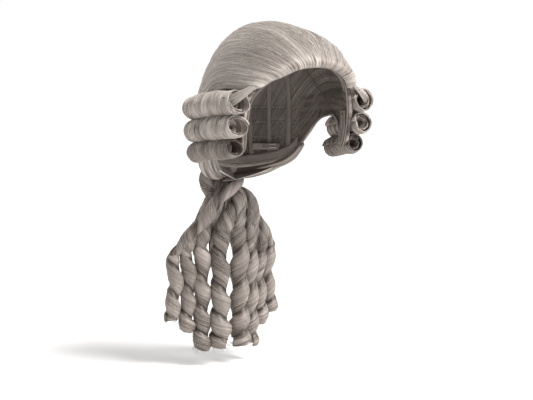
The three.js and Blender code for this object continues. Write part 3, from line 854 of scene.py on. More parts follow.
def make_roll(s, side, i):
    R = Roll(s, i)
    nu, nt = 150, 78
    u = np.linspace(0, 1, nu)
    th = np.linspace(8, 640, nt)
    U, T = np.meshgrid(u, th, indexing="ij")
    # the front mouth slants: it reaches further forward underneath; both mouths are a little ragged
    lo = (mouth(th) + 1.5 * noise2(th / 26, 0 * th, R.seed + 3) + 0.7 * noise2(th / 6, 0 * th, R.seed + 6)) / R.len
    lo = lo + 0.035 * smooth(420, 640, th)
    hi = 1 + (2.2 * noise2(th / 30, 0 * th + 5, R.seed + 4)) / R.len - 0.05 * smooth(400, 640, th)
    U = lo[None] + (hi - lo)[None] * U
    h, deep, x, y = R.height(U, T)
    inside = smooth(360, 420, T)
    outer = R.point(U, T, h * (1 - 0.6 * inside))
    inner = R.point(U, T, h * 0.4 - 1.5)
    depth = (U - lo[None]) * R.len
    # Painted shade: the tone darkens deep inside the inner windings and over the whole lowest roll (0.50), which hangs
    # in shadow. The first 5 mm at the front mouth are darker as well.
    tone = tone_with_crease_shade(h, deep, x, y, R.seed) * (1 - 0.22 * inside * smooth(3, 18, depth))
    tone = tone * (0.80 + 0.20 * smooth(0, 5, depth)) * (0.90, 0.90, 0.50)[i]
    fib = np.stack([x, y, 0 * x], -1)
    b = Batch()
    # The inner face darkens the deeper it lies in the roll: painted shade.
    b.slab(outer, inner, tone, tone * lerp(1.0, 0.72, smooth(2, 18, depth)), fib, fib + [200, 0, 0])
    # the innermost winding: hair that turns in on itself a little way inside each end
    nc = 84
    ca = np.linspace(0, 2 * np.pi, nc, endpoint=False)
    prof = np.array([[15.5, 0.04], [13.5, 0.14], [10.8, 0.27], [8.2, 0.39], [6.2, 0.50], [5.0, 0.575], [5.4, 0.62], [8, 0.64]])
    tail_ = np.array([[8, 0.60], [4.4, 0.58], [3.6, 0.50], [4.8, 0.39], [7.0, 0.27], [9.4, 0.14], [11, 0.04]])
    du = np.concatenate([prof[:, 0], R.len - tail_[:, 0]])
    rad = np.concatenate([prof[:, 1], tail_[:, 1]]) * R.r
    CA, DU = np.meshgrid(ca, du, indexing="ij")
    RD = rad[None] + 0 * CA
    cx, cy = CA * R.r * 0.5 + 0.14 * RD, RD * 1.0 + 0 * CA
    ch, cdeep = clumps(cx, cy, R.seed + 7, big=3.6, mid=1.9, fine=0.8, amp=(0.55, 0.3, 0.12))
    RD = RD + ch * np.clip(RD / (0.5 * R.r), 0, 1) * 0.5
    cp, ct, cup, cout = R.at(DU / R.len)
    CP = cp - cout * (np.cos(CA) * RD)[..., None] + cup * (np.sin(CA) * RD)[..., None]
    # Painted shade: the innermost winding darkens towards its centre.
    ctone = tone_with_crease_shade(ch, cdeep, cx, cy, R.seed + 7) * (0.34 + 0.52 * np.clip(RD / (0.55 * R.r), 0, 1))
    c0 = b.grid(CP, ctone, np.stack([cx, cy, 0 * cx], -1), wrap_u=True)
    # Near-black centre points (0.1) close the winding: painted shade at the bottom of the hollow.
    ce = b._add(np.stack([R.at(np.array([du[0] / R.len]))[0][0], R.at(np.array([du[-1] / R.len]))[0][0]]), 0.1, None)
    j = np.arange(nc)
    j2 = (j + 1) % nc
    m_ = len(du)
    b.t.append(np.stack([np.full(nc, ce), c0 + j2 * m_, c0 + j * m_], -1))
    b.t.append(np.stack([np.full(nc, ce + 1), c0 + j * m_ + m_ - 1, c0 + j2 * m_ + m_ - 1], -1))
    b.build(f"roll_{side}_{i + 1}", HAIR, replaces=[f"side_roll_{side}_{i + 1}"])
    # fibres wound round it
    rng = np.random.default_rng(R.seed + 40)
    n, m = 230, 20
    u0 = rng.uniform(0.005, 0.995, n)[:, None]
    a0 = rng.uniform(5, 250, n)[:, None]
    span = rng.uniform(70, 260, n)[:, None]
    t = np.linspace(0, 1, m)[None]
    T = a0 + span * t
    U = u0 + (rng.uniform(-1, 1, (n, 1)) * 1.6 * (t - 0.5) + 0.9 * np.sin(t * 5 + rng.uniform(0, 6, (n, 1)))) / R.len
    h, _, _, _ = R.height(U, T)
    up = rng.uniform(0.1, 0.55, n)[:, None] * np.sin(np.pi * t) ** 0.4 - 0.2
    P = R.point(U, T, h + up)
    ax, _, _, _ = R.at(U)
    f = Batch()
    # Fibres on the lowest roll are darker (0.46), the same painted shade as that roll.
    f.tubes(P, P - ax, rng.uniform(0.13, 0.24, n), tone=rng.uniform(0.3, 0.92, n) * (0.96, 0.96, 0.46)[i], seed=R.seed)
    # short ends that stand out of the front mouth
    n, m = 22, 8
    a0 = rng.uniform(20, 620, n)[:, None]
    t = np.linspace(0, 1, m)[None]
    T = a0 + rng.uniform(-30, 40, (n, 1)) * t
    U = (rng.uniform(1, 5, (n, 1)) - rng.uniform(1.5, 5.0, (n, 1)) * t + mouth(a0)) / R.len
    P = R.point(U, T, -0.5 + 0.6 * t)
    ax, _, _, _ = R.at(U)
    f.tubes(P, P - ax, rng.uniform(0.10, 0.17, n), tone=rng.uniform(0.2, 0.8, n), seed=R.seed + 1)
    f.build(f"roll_fibres_{side}_{i + 1}", HAIR)
    return R


def twisted_thread(b, p0, p1, r=0.32, turns=9, tone=0.2):
    p0, p1 = np.array(p0, float), np.array(p1, float)
    m = turns * 8 + 1
    t = np.linspace(0, 1, m)
    axis = unit(p1 - p0)
    a = unit(np.cross(axis, [0.3, 0.2, 1.0]))
    c = np.cross(axis, a)
    for k in range(2):
        ph = 2 * np.pi * turns * t + np.pi * k
        path = p0 + (p1 - p0) * t[:, None] + (a * np.cos(ph)[:, None] + c * np.sin(ph)[:, None]) * r
        b.tube(path, a, r * 0.95, 6, tone)


THREAD, _nt, _b = new_material("wig_thread")
_fib = attribute(_nt, "fib", "Vector")
_col = ramp(_nt, [(0.2, (0.012, 0.010, 0.009)), (0.8, (0.05, 0.042, 0.036))], noise_tex(_nt, _fib, 2.2, (1, 1, 1), 3))
_nt.links.new(_col, _b.inputs["Base Color"])
_b.inputs["Roughness"].default_value = 0.75

ROLL_OBJ = {}
for side, s in SIDES:
    for i in range(3):
        R = ROLL_OBJ[side, i] = make_roll(s, side, i)
        c, t, up, out = R.at(np.array([0.12]))
        c, t = c[0], t[0]
        across = np.array([s * 0.75, 0, 0.35])
        across = unit(across - t * np.dot(across, t))
        b = Batch()
        half = R.r * 0.98
        twisted_thread(b, c - across * (half - 0.6), c + across * (half + 0.1), 0.34, 11)
        knot = c + across * (half + 0.1)
        k = np.linspace(0, 2 * np.pi, 15)
        b.tube(knot + np.stack([1.0 * np.cos(k), 1.0 * np.sin(k), 0.5 * np.sin(2 * k)], 1), [0, 0, 1], 0.36, 6, 0.2)
        b.build(f"stitch_{side}_{i + 1}", THREAD, replaces=[f"roll_stitch_{side}_{i + 1}"])


# sewn base behind the rolls, with the short hair in front of the ear
def base_patch(side, s):
    nu, nv = 170, 70
    deg = np.linspace(56.0, 121, nu)
    lo = np.maximum(rimZ(deg), 7.5) + 0.2
    hi = sideZ(deg) + 1.5
    v = np.linspace(0, 1, nv)
    Z = lo[:, None] + (hi - lo)[:, None] * v[None]
    A = np.broadcast_to(deg[:, None], Z.shape)
    x = Z + 5 * np.sin(A * D * 3)
    y = A * D * 85
    h, deep = clumps(x, y, 61 + (s > 0), big=6.5, mid=2.6, fine=1.0, amp=(0.9, 0.5, 0.25))
    e = (A - deg[0]) * D * 80
    low = (Z - lo[:, None])
    p = np.sqrt(np.clip(1 - (1 - np.clip(np.minimum(e + 1.0, low + 0.4) / 5, 0, 1)) ** 2, 0, 1))
    # it swells forward of the rolls and stays flat under them
    front = smooth(78, 62, A)
    d = 1.75 + p * (1.7 + 3.0 * front + 0.8 * h)
    outer = on_head(s * A, latitude(Z), d)
    inner = on_head(s * A, latitude(Z), 1.6)
    # Painted shade: the tone darkens where the patch lies flat under the rolls (front) and at its thin edges (p).
    tone = tone_with_crease_shade(h, deep, x, y, 61) * (0.42 + 0.58 * front) * (0.72 + 0.28 * p)
    fib = np.stack([x, y, 0 * x], -1)
    b = Batch()
    # The inner face is at half tone: painted shade.
    if s > 0:
        b.slab(outer, inner, tone, tone * 0.5, fib, fib + [90, 0, 0])
    else:
        b.slab(outer[::-1], inner[::-1], tone[::-1], tone[::-1] * 0.5, fib[::-1], fib[::-1] + [90, 0, 0])
    b.build(f"base_{side}", HAIR, replaces=[f"roll_base_{side}"])
    # temple hair drawn back into the mouth of the upper roll
    R = ROLL_OBJ[side, 0]

    def sweep(q, t, lift):
        q, t, lift = np.broadcast_arrays(q, t, lift)
        a0 = lerp(47.5, 60.5, q)
        P0 = on_head(s * a0, latitude(lerp(sideZ(a0) + 5.0, rimZ(a0) + 7.0, smooth(0.3, 1, q))), 3.4 + 1.4 * np.sin(np.pi * np.clip(q, 0, 1)))
        th1 = lerp(222, 78, q)
        P2 = R.point(0 * q - 0.03, th1, -2.9)
        P3 = R.point(0 * q + 0.20, th1, -3.6)
        P1 = P0 + unit(P0 - [0, 0, 1] * P0[..., 2:3]) * 4.6 + (P2 - P0) * 0.28
        w = t[..., None]
        P = (1 - w) ** 3 * P0 + 3 * (1 - w) ** 2 * w * P1 + 3 * (1 - w) * w ** 2 * P2 + w ** 3 * P3
        n_ = unit(P0 - [0, 0, 1] * P0[..., 2:3] + np.array([0, 0, 30.0]))
        return P + n_ * lift[..., None], n_

    q = np.linspace(0, 1, 96)[:, None]
    t = np.linspace(0, 1, 34)[None]
    xq, yq = q * 24 + 0 * t, t * 34 + 0 * q
    h, deep = clumps(xq, yq, 91 + (s > 0), big=5.2, mid=2.3, fine=0.9, amp=(0.55, 0.3, 0.12))
    o, _ = sweep(q, t, h)
    n_, _ = sweep(q, t, h * 0.3 - 1.2)
    # Painted shade: the sweep darkens as it runs into the roll's mouth and at its root edge. The 0.86 lowers the whole
    # tone.
    tq = 0.86 * tone_with_crease_shade(h, deep, xq, yq, 91) * (0.62 + 0.38 * smooth(1.0, 0.45, t)) * (0.7 + 0.3 * smooth(0, 0.12, t))
    fib = np.stack([xq, yq, 0 * xq], -1)
    b = Batch()
    # The inner face is at half tone: painted shade.
    if s > 0:
        b.slab(o[::-1], n_[::-1], tq[::-1], tq[::-1] * 0.5, fib[::-1], fib[::-1])
    else:
        b.slab(o, n_, tq, tq * 0.5, fib, fib)
    b.build(f"temple_sweep_{side}", HAIR)
    rng = np.random.default_rng(71 + s)
    f = Batch()
    n, m = 130, 16
    q = rng.uniform(0.01, 0.99, (n, 1))
    t = rng.uniform(0, 0.12, (n, 1)) + np.linspace(0, 1, m)[None] * rng.uniform(0.5, 0.85, (n, 1))
    P, nn = sweep(q + 0.02 * np.sin(t * 6 + rng.uniform(0, 6, (n, 1))), t, rng.uniform(0.1, 0.8, (n, 1)) + 0 * t)
    f.tubes(P, nn, rng.uniform(0.10, 0.19, n), tone=rng.uniform(0.3, 0.85, n), seed=72 + s)
    f.build(f"temple_fibres_{side}", HAIR)


for side, s in SIDES:
    base_patch(side, s)


# ============================================================ locks and ringlets
class Lock:
    """A flat lock of hair wound into a corkscrew round a path."""

    def __init__(self, pts, radius, pitch, hand, phase, seed, ref=(0, 1, 0.01), n=260, sway=0.08, waist=0.13):
        self.sway = sway
        self.waist = waist
        self.shade = 0.52
        self.path = spline(pts, n)
        self.s = np.concatenate([[0], np.cumsum(np.linalg.norm(np.diff(self.path, axis=0), axis=1))])
        self.L = self.s[-1]
        self.t, self.a, self.b = frames(self.path, ref)
        self.r = np.vectorize(radius)(self.s / self.L)
        p = np.vectorize(pitch)(self.s / self.L)
        self.psi = np.concatenate([[0], np.cumsum(2 * np.pi / ((p[1:] + p[:-1]) / 2) * np.diff(self.s))])
        self.p0, self.p1 = p[0], p[-1]
        self.hand, self.phase, self.seed = hand, phase, seed

    def s_of(self, psi):
        base = np.interp(psi, self.psi, self.s)
        return base + np.where(psi < 0, psi * self.p0 / (2 * np.pi), 0) + np.where(psi > self.psi[-1], (psi - self.psi[-1]) * self.p1 / (2 * np.pi), 0)

    def point(self, t, s, k, lift=0.0):
        """t: winding angle, s: place along the path in mm, k: share of the full radius."""
        sc = np.clip(s, 0, self.L)
        g = lambda a: np.stack([np.interp(sc, self.s, a[:, c]) for c in range(3)], -1)
        p = g(self.path) + g(self.t) * (s - sc)[..., None]
        r = np.interp(sc, self.s, self.r) * k + lift
        # a waist at every turn, where the outer face crosses over
        turn = self.hand * np.interp(sc, self.s, self.psi) + self.phase + self.hand * 2.1
        r = r * (1 - self.waist * (0.5 + 0.5 * np.cos(turn)) ** 1.6)
        th = self.hand * t + self.phase
        # the whole lock sways round its path in step with its winding
        w = self.hand * np.interp(sc, self.s, self.psi) + self.phase + np.pi * 0.9
        sway = self.sway * np.interp(sc, self.s, self.r)
        p = p + (g(self.a) * np.cos(w)[..., None] + g(self.b) * np.sin(w)[..., None]) * sway[..., None]
        return p + (g(self.a) * np.cos(th)[..., None] + g(self.b) * np.sin(th)[..., None]) * r[..., None]

    @staticmethod
    def profile(v):
        v = np.clip(v, 0, 1.12)
        rise = 0.56 + 0.44 * np.sin(np.minimum(v / 0.42, 1) * np.pi / 2)
        return rise - 0.13 * np.clip((v - 0.55) / 0.45, 0, 1.3) ** 2.4

    def height(self, t, v, s):
        sc = np.clip(s, 0, self.L)
        r = np.interp(sc, self.s, self.r)
        x = v * 30 + 1.5 * np.sin(t * 0.8 + self.seed)
        y = t * 10
        h, deep = clumps(x, y, self.seed, big=6.6, mid=2.7, fine=1.05, amp=(0.6, 0.32, 0.14))
        return h * np.clip(r / 8, 0.3, 1), 1 - (1 - deep) * 0.7, x, y

    def mesh(self, b, per_turn=26, nv=34, wall=1.3, over=0.07, end=0.0):
        t0, t1 = -2 * np.pi * (1 + over) + 0.4, self.psi[-1] - 2 * np.pi * (1 + over) * 0.55
        nt = max(12, int((t1 - t0) / (2 * np.pi) * per_turn))
        t = np.linspace(t0, t1, nt)
        v = np.linspace(0, 1 + over, nv)
        T, V = np.meshgrid(t, v, indexing="ij")
        s = self.s_of(T + 2 * np.pi * V)
        jag = 1.6 * noise2(V * 17, T * 0.4, self.seed + 50)
        bottom = self.L + end + jag
        drop = smooth(self.L - 3, self.L + 6, s)
        s = np.clip(s, 0, None)
        s = np.minimum(s, bottom)
        h, deep, x, y = self.height(T, V, s)
        k = self.profile(V)
        outer = self.point(T, s, k, h)
        inner = self.point(T, s, k, h * 0.5 - wall)
        # Painted shade: edge darkens the crease where each turn tucks under the one before, k darkens the waists, and
        # the inner face is at half tone. drop makes the bottom end slightly darker.
        edge = np.minimum(smooth(0.09, 0.42, V), smooth(1 + over, 0.93 + over, V) * 0.45 + 0.55)
        tone = tone_with_crease_shade(h, deep, x, y, self.seed) * (0.03 + 0.97 * edge) * (0.66 + 0.34 * smooth(0.70, 0.97, k)) * self.shade - 0.05 * drop
        fib = np.stack([x, y, 0 * x], -1)
        b.slab(outer, inner, np.clip(tone, 0, 1), np.clip(tone * 0.5, 0, 1), fib, fib + [120, 0, 0])

    def core(self, b):
        """Hair inside the winding, so that an open end shows rolled hair."""
        k = self.s / self.L
        m = (k > 0.012) & (k < 0.985)
        r = self.r[m] * 0.60 * np.clip(np.minimum(k[m], 1 - k[m]) / 0.02, 0.25, 1) ** 0.5
        w = self.hand * self.psi[m] + self.phase + np.pi * 0.9
        off = (self.a[m] * np.cos(w)[:, None] + self.b[m] * np.sin(w)[:, None]) * (self.sway * self.r[m])[:, None]
        # The core is near-black (0.16): painted shade in the hollow of the winding.
        b.tube(self.path[m] + off, (0.02, 1, 0.05), r, 14, 0.16)

    def fibres(self, b, n, seed, turns=(0.4, 1.6), tips=0, pts=20, rad=(0.12, 0.24)):
        rng = np.random.default_rng(seed)
        tt = self.psi[-1]
        ln = rng.uniform(*turns, n) * 2 * np.pi
        t0 = rng.uniform(-2 * np.pi * 0.9, max(tt - 2 * np.pi * 0.8, 0.1), n)
        q = np.linspace(0, 1, pts)[None]
        T = t0[:, None] + np.minimum(ln, np.maximum(tt - t0 - 2, 1.0))[:, None] * q
        V = rng.uniform(0.24, 0.95, n)[:, None] + 0.05 * np.sin(q * 4 + rng.uniform(0, 6, (n, 1)))
        s = self.s_of(T + 2 * np.pi * V)
        ok = (s.min(1) > -1.0) & (s.max(1) < self.L + 1.5)
        T, V, s = T[ok], V[ok], s[ok]
        h, _, _, _ = self.height(T, V, s)
        up = rng.uniform(0.05, 0.5, len(T))[:, None] * np.sin(np.pi * q) ** 0.4 - 0.2
        P = self.point(T, s, self.profile(V), h + up)
        ax = self.point(T, s, 0 * V)
        if len(T):
            b.tubes(P, P - ax, rng.uniform(*rad, len(T)), tone=rng.uniform(0.2, 0.72, len(T)), seed=seed)
        if tips:
            m = 10
            q = np.linspace(0, 1, m)[None]
            T = (tt - rng.uniform(0, 2 * np.pi, (tips, 1))) + rng.uniform(0.4, 1.4, (tips, 1)) * q
            s = self.L - rng.uniform(2, 10, (tips, 1)) + rng.uniform(4, 13, (tips, 1)) * q
            k = rng.uniform(0.62, 0.98, (tips, 1)) * (1 - 0.2 * q) + 0 * q
            P = self.point(T, s, k)
            rad_t = rng.uniform(0.12, 0.2, (tips, 1)) * (1 - 0.75 * q)
            b.tubes(P, P - self.point(T, s, 0 * k), rad_t, tone=rng.uniform(0.3, 0.9, tips), seed=seed + 1)


TIE = np.array([0, 114.0, -32.0])
RINGLETS = [
    (13.4, 106.5, -96, -239, 10.0, 11.8),
    (34.0, 115.5, -116, -243, 9.0, 9.2),
    (51.8, 120.5, -124, -219, 7.9, 8.3),
    (68.6, 125.0, -127, -206, 7.6, 8.3),
]


def up_down(keys):
    f = keyed(keys)
    return lambda q: float(f(q))


for side, s in SIDES:
    for i, (x, y, top, bottom, r0, r1) in enumerate(RINGLETS):
        seed = 200 + 10 * i + (s > 0)
        hand = s
        # ringlet
        lean = (0.0, 0.6, 3.6, 4.4)[i]
        pts = [[s * x, y, top + 3.5], [s * (x - lean), y, top - 28], [s * (x - lean * 0.55), y, (top + bottom) / 2 - 6], [s * x, y, bottom + 20], [s * (x + lean * 0.2), y, bottom + 1.5]]
        full = (12.0, 11.1, 9.9, 9.6)[i]
        rad = up_down([[0, 6.6], [0.06, full * 0.93], [0.16, full], [0.55, full], [0.85, full + 0.5 + 0.9 * (i == 0)], [0.96, full + 0.9 + 1.4 * (i == 0)], [1, full + 0.2]])
        pit = up_down([[0, 45 - i], [0.35, 41 - 1.5 * i], [0.7, 33 - i], [1, 22]])
        ring = Lock(pts, rad, pit, hand, 1.3 * i + 0.6, seed)
        b = Batch()
        ring.mesh(b)
        ring.core(b)
        b.build(f"curl_{side}_{i + 1}", HAIR, body=f"ringlet_{side}_{i + 1}", replaces=[f"ringlet_{side}_{i + 1}"])
        f = Batch()
        ring.fibres(f, 150, seed + 3, tips=34)
        f.build(f"curl_fibres_{side}_{i + 1}", HAIR, body=f"ringlet_{side}_{i + 1}")
        # lock of the tail above it
        pts = [[s * (0.8 + 1.5 * i), 114 - 0.5 * i, -37], [s * (2.4 + 3.9 * i), 113.5, -46], [s * (4.6 + 8.2 * i), 112.0, -58],
               [s * ((4.1 + 8.2 * i) * 0.55 + x * 0.45), 111.5 * 0.55 + y * 0.45 + 1.0, -58 + (top + 58) * 0.45],
               [s * x, y, top + 9], [s * x, y, top - 4]]
        if side == "right" and i == 0:
            pts = [[2, 113, -37], [7.5, 108, -46], [9, 103.5, -57], [4.5, 101.5, -70], [-5, 103.5, -85], [-11.5, 106, -95], [-13.4, 106.5, -102]]
        if side == "right" and i == 3:
            pts = [[7, 109, -29], [12, 102, -34], [6.5, 97.5, -39.6], [-6.6, 96, -47.2], [-16.5, 98, -55.5], [-25.2, 102, -68.3], [-34, 108, -83], [-45, 115, -97.5], [-56, 121, -111], [-65.5, 124, -124], [-68.6, 125, -134]]
        big = (10.2, 9.8, 9.4, 8.8)[i]
        rad = up_down([[0, 3.6], [0.16, 5.4], [0.36, big * 0.92], [0.62, big], [0.88, big * 0.95], [1, big * 0.8]])
        if side == "right" and i == 3:
            rad = up_down([[0, 4.2], [0.14, 6.4], [0.34, 8.4], [0.62, 8.8], [0.88, 8.0], [1, 6.8]])
        pit = up_down([[0, 58], [0.5, 44], [1, 38]])
        lock = Lock(pts, rad, pit, hand, 2.2 * i + 1.0, seed + 5)
        b = Batch()
        lock.mesh(b, nv=32)
        lock.core(b)
        b.build(f"lock_{side}_{i + 1}", HAIR, body="tail", replaces=[f"tail_lock_{side}_{i + 1}"])
        f = Batch()
        lock.fibres(f, 110, seed + 6, turns=(0.3, 0.9))
        f.build(f"lock_fibres_{side}_{i + 1}", HAIR, body="tail")

# loose lock that loops over the tie
lock = Lock([[-9, 109, -24], [-15, 113, -20.5], [-22, 117, -25], [-25, 119, -35], [-23.5, 118.5, -46], [-18, 115.5, -58], [-13, 112, -68]],
            up_down([[0, 5.0], [0.18, 7.4], [0.42, 8.9], [0.7, 8.2], [1, 4.5]]), up_down([[0, 78], [1, 58]]), -1, 2.2, 291)
b = Batch()
lock.mesh(b, nv=40)
lock.core(b)
b.build("loop_lock", HAIR, body="tail", replaces=["loop_lock_right"])
f = Batch()
lock.fibres(f, 110, 292, turns=(0.15, 0.5))
f.build("loop_lock_fibres", HAIR, body="tail")

# gathered hair under the tie
nu, nv = 150, 26
u = np.linspace(0, 2 * np.pi, nu, endpoint=False)
v = np.linspace(0, 1, nv)
U, V = np.meshgrid(u, v, indexing="ij")
z = lerp(-35.5, -61.0, V)
hx = lerp(8.6, 31.5, smooth(0.05, 1, V))
hy = lerp(8.6, 7.5, smooth(0, 0.5, V)) - 1.5 * smooth(0.8, 1, V)
X = U / (2 * np.pi) * 120
Y = V * 30
h, deep = clumps(X, Y, 301, big=7, mid=2.8, fine=1.1, amp=(0.8, 0.45, 0.2))
k = smooth(0, 0.12, V) * 0.12 + 0.88


def fan(lift):
    return np.stack([np.cos(U) * (hx * k + lift), 113.6 + np.sin(U) * (hy * k + lift), z], -1)


# Painted shade: the gathered hair darkens towards the tie, and its inner face is at half tone.
tone = tone_with_crease_shade(h, deep, X, Y, 301) * (0.20 + 0.36 * smooth(0.1, 0.8, V))
b = Batch()
fib = np.stack([X, Y, 0 * X], -1)
o, n_ = fan(h), fan(h * 0.3 - 1.6)
bo = b.grid(o, tone, fib, wrap_u=True, flip=True)
bi = b.grid(n_, tone * 0.5, fib, wrap_u=True)
i = np.arange(nu)
i2 = (i + 1) % nu
b.q.append(np.stack([bo + i * nv, bo + i2 * nv, bi + i2 * nv, bi + i * nv], -1))
b.q.append(np.stack([bo + i2 * nv + nv - 1, bo + i * nv + nv - 1, bi + i * nv + nv - 1, bi + i2 * nv + nv - 1], -1))
b.build("gather", HAIR, body="tail", replaces=["tail_gather"])

# elastic tie: a covered cord, drawn into ribs
nu, nv = 220, 14
u = np.linspace(0, 2 * np.pi, nu, endpoint=False)
v = np.linspace(0, 2 * np.pi, nv, endpoint=False)
U, V = np.meshgrid(u, v, indexing="ij")
rt = 2.45 + 0.28 * np.cos(26 * U + 2 * V)
P = np.stack([(12.7 + rt * np.cos(V)) * np.cos(U), (12.7 + rt * np.cos(V)) * np.sin(U), rt * np.sin(V)], -1)
c, sn = math.cos(22 * D), math.sin(22 * D)
P = np.stack([P[..., 0], P[..., 1] * c - P[..., 2] * sn, P[..., 1] * sn + P[..., 2] * c], -1) + TIE
b = Batch()
b.grid(P, 0.3 + 0.2 * np.cos(26 * U + 2 * V), np.stack([U * 12, V * 3, 0 * U], -1), wrap_u=True, wrap_v=True)
b.build("tie_band", THREAD, body="tie", replaces=["elastic_hair_tie"])

# nape hair drawn to the tie
AXIS = unit(np.array([0, -0.669, 0.743]))
AX_A = np.array([1.0, 0, 0])
AX_B = np.cross(AXIS, AX_A)
if AX_B[1] < 0:
    AX_B = -AX_B


def drawn(c, v, lift=0.0):
    """c from -1 (wearer's right) to 1 (left), v from the nape to the tie."""
    az = 180 + c * 56.0
    az_abs = 180 - np.abs(c) * 56.0
    z0 = np.where(az_abs < 180, rimZ(az_abs), rimZ(180)) + 9 + 5 * (1 - np.abs(c))
    th = latitude(z0)
    P0 = on_head(az, th, full_thick(az_abs, th) - 0.9)
    inward = on_head(az, latitude(z0 - 8), 7.5) - P0
    ang = c * 118 * D
    ringp = TIE + AX_A * (np.sin(ang) * 9.2)[..., None] + AX_B * (np.cos(ang) * 9.2)[..., None]
    P3 = ringp - AXIS * 2.0
    P2 = ringp + AXIS * (11 + 5 * np.abs(c))[..., None] + (AX_A * (np.sin(ang) * 1.5)[..., None] + AX_B * (np.cos(ang) * 1.5)[..., None])
    P1 = P0 + unit(inward) * (10 + 8 * np.abs(c))[..., None]
    droop = smooth(0.35, 1.0, np.abs(c))[..., None]
    P1 = P1 + np.array([0, -1.0, -15.0]) * droop
    P2 = P2 + (np.array([0, -4.0, -17.0]) + AX_A * (np.sign(c) * 15.0)[..., None]) * droop
    t = v[..., None]
    P = (1 - t) ** 3 * P0 + 3 * (1 - t) ** 2 * t * P1 + 3 * (1 - t) * t ** 2 * P2 + t ** 3 * P3
    centre = TIE + AXIS * 14
    nrm = unit(P - (centre + (P - centre) * 0) + np.array([0, 6.0, -2.0]))
    nrm = unit(lerp(unit(P0 - [0, 0, 20]), nrm, smooth(0, 0.6, v)[..., None]))
    return P + nrm * np.asarray(lift)[..., None], nrm


for side, s in SIDES:
    nu, nv = 120, 40
    c = np.linspace(0.0, 1.0, nu) * s
    v = np.linspace(0, 1, nv)
    C, V = np.meshgrid(c, v, indexing="ij")
    X = C * 70
    Y = V * 60
    h, deep = clumps(X, Y, 311, big=6.5, mid=2.7, fine=1.05, amp=(0.95, 0.5, 0.2))
    fade = smooth(0, 0.22, V)
    edge = smooth(1.0, 0.9, np.abs(C))
    o, nrm = drawn(C, V, (h * (0.35 + 0.65 * fade) - 1.4 * (1 - fade) + 0.6) * edge)
    n_, _ = drawn(C, V, -1.6 * edge - 0.5)
    # Painted shade: the tone darkens along the drooping outer edges, and the inner face is at 0.4 tone.
    tone = tone_with_crease_shade(h, deep, X, Y, 311) * 0.85 * (0.22 + 0.78 * smooth(1.0, 0.82, np.abs(C)))
    fib = np.stack([X, Y, 0 * X], -1)
    b = Batch()
    if s > 0:
        b.slab(o[::-1], n_[::-1], tone[::-1], tone[::-1] * 0.4, fib[::-1], fib[::-1])
    else:
        b.slab(o, n_, tone, tone * 0.4, fib, fib)
    b.build(f"swathe_{side}", HAIR, replaces=[f"nape_swathe_{side}"])
    rng = np.random.default_rng(320 + s)
    n, m = 220, 18
    c0 = rng.uniform(0.0, 0.98, (n, 1)) * s
    q = np.linspace(0, 1, m)[None]
    Vv = rng.uniform(0, 0.15, (n, 1)) + q * rng.uniform(0.6, 0.84, (n, 1))
    Cc = c0 + 0.02 * np.sin(q * 5 + rng.uniform(0, 6, (n, 1)))
    h, _ = clumps(Cc * 70, Vv * 60, 311, big=6.5, mid=2.7, fine=1.05, amp=(0.95, 0.5, 0.2))
    P, nrm = drawn(Cc, Vv, h * 0.8 + 0.7)
    f = Batch()
    f.tubes(P, nrm, rng.uniform(0.14, 0.26, n), tone=rng.uniform(0.25, 0.85, n), seed=321 + s)
    f.build(f"swathe_fibres_{side}", HAIR)

# solid neck of hair through the tie
nu, nv = 96, 26
u = np.linspace(0, 2 * np.pi, nu, endpoint=False)
v = np.linspace(0, 1, nv)
U, V = np.meshgrid(u, v, indexing="ij")
along = lerp(25.0, -9.0, V)
rr = np.where(along > 0, 8.8 + 1.6 * np.sin(np.pi * np.clip(along / 25, 0, 1)) - 2.6 * np.clip(along / 25, 0, 1) ** 2, 9.3 * np.sqrt(np.clip(1 - (along / 9.6) ** 2, 0.02, 1)))
X, Y = U * 9.3, V * 35
h, deep = clumps(X, Y, 331, big=6, mid=2.6, fine=1.0, amp=(0.5, 0.35, 0.2))
rr = rr + h * 0.7
P = TIE + AXIS * along[..., None] + AX_A * (np.cos(U) * rr)[..., None] + AX_B * (np.sin(U) * rr)[..., None]
b = Batch()
bo = b.grid(P, 0.8 * tone_with_crease_shade(h, deep, X, Y, 331), np.stack([X, Y, 0 * X], -1), wrap_u=True)
e = b._add(np.stack([TIE + AXIS * 25.0, TIE - AXIS * 9.0]), 0.2, None)
i = np.arange(nu)
i2 = (i + 1) % nu
b.t.append(np.stack([np.full(nu, e), bo + i2 * nv, bo + i * nv], -1))
b.t.append(np.stack([np.full(nu, e + 1), bo + i * nv + nv - 1, bo + i2 * nv + nv - 1], -1))
b.build("neck", HAIR, replaces=["tail_neck"])


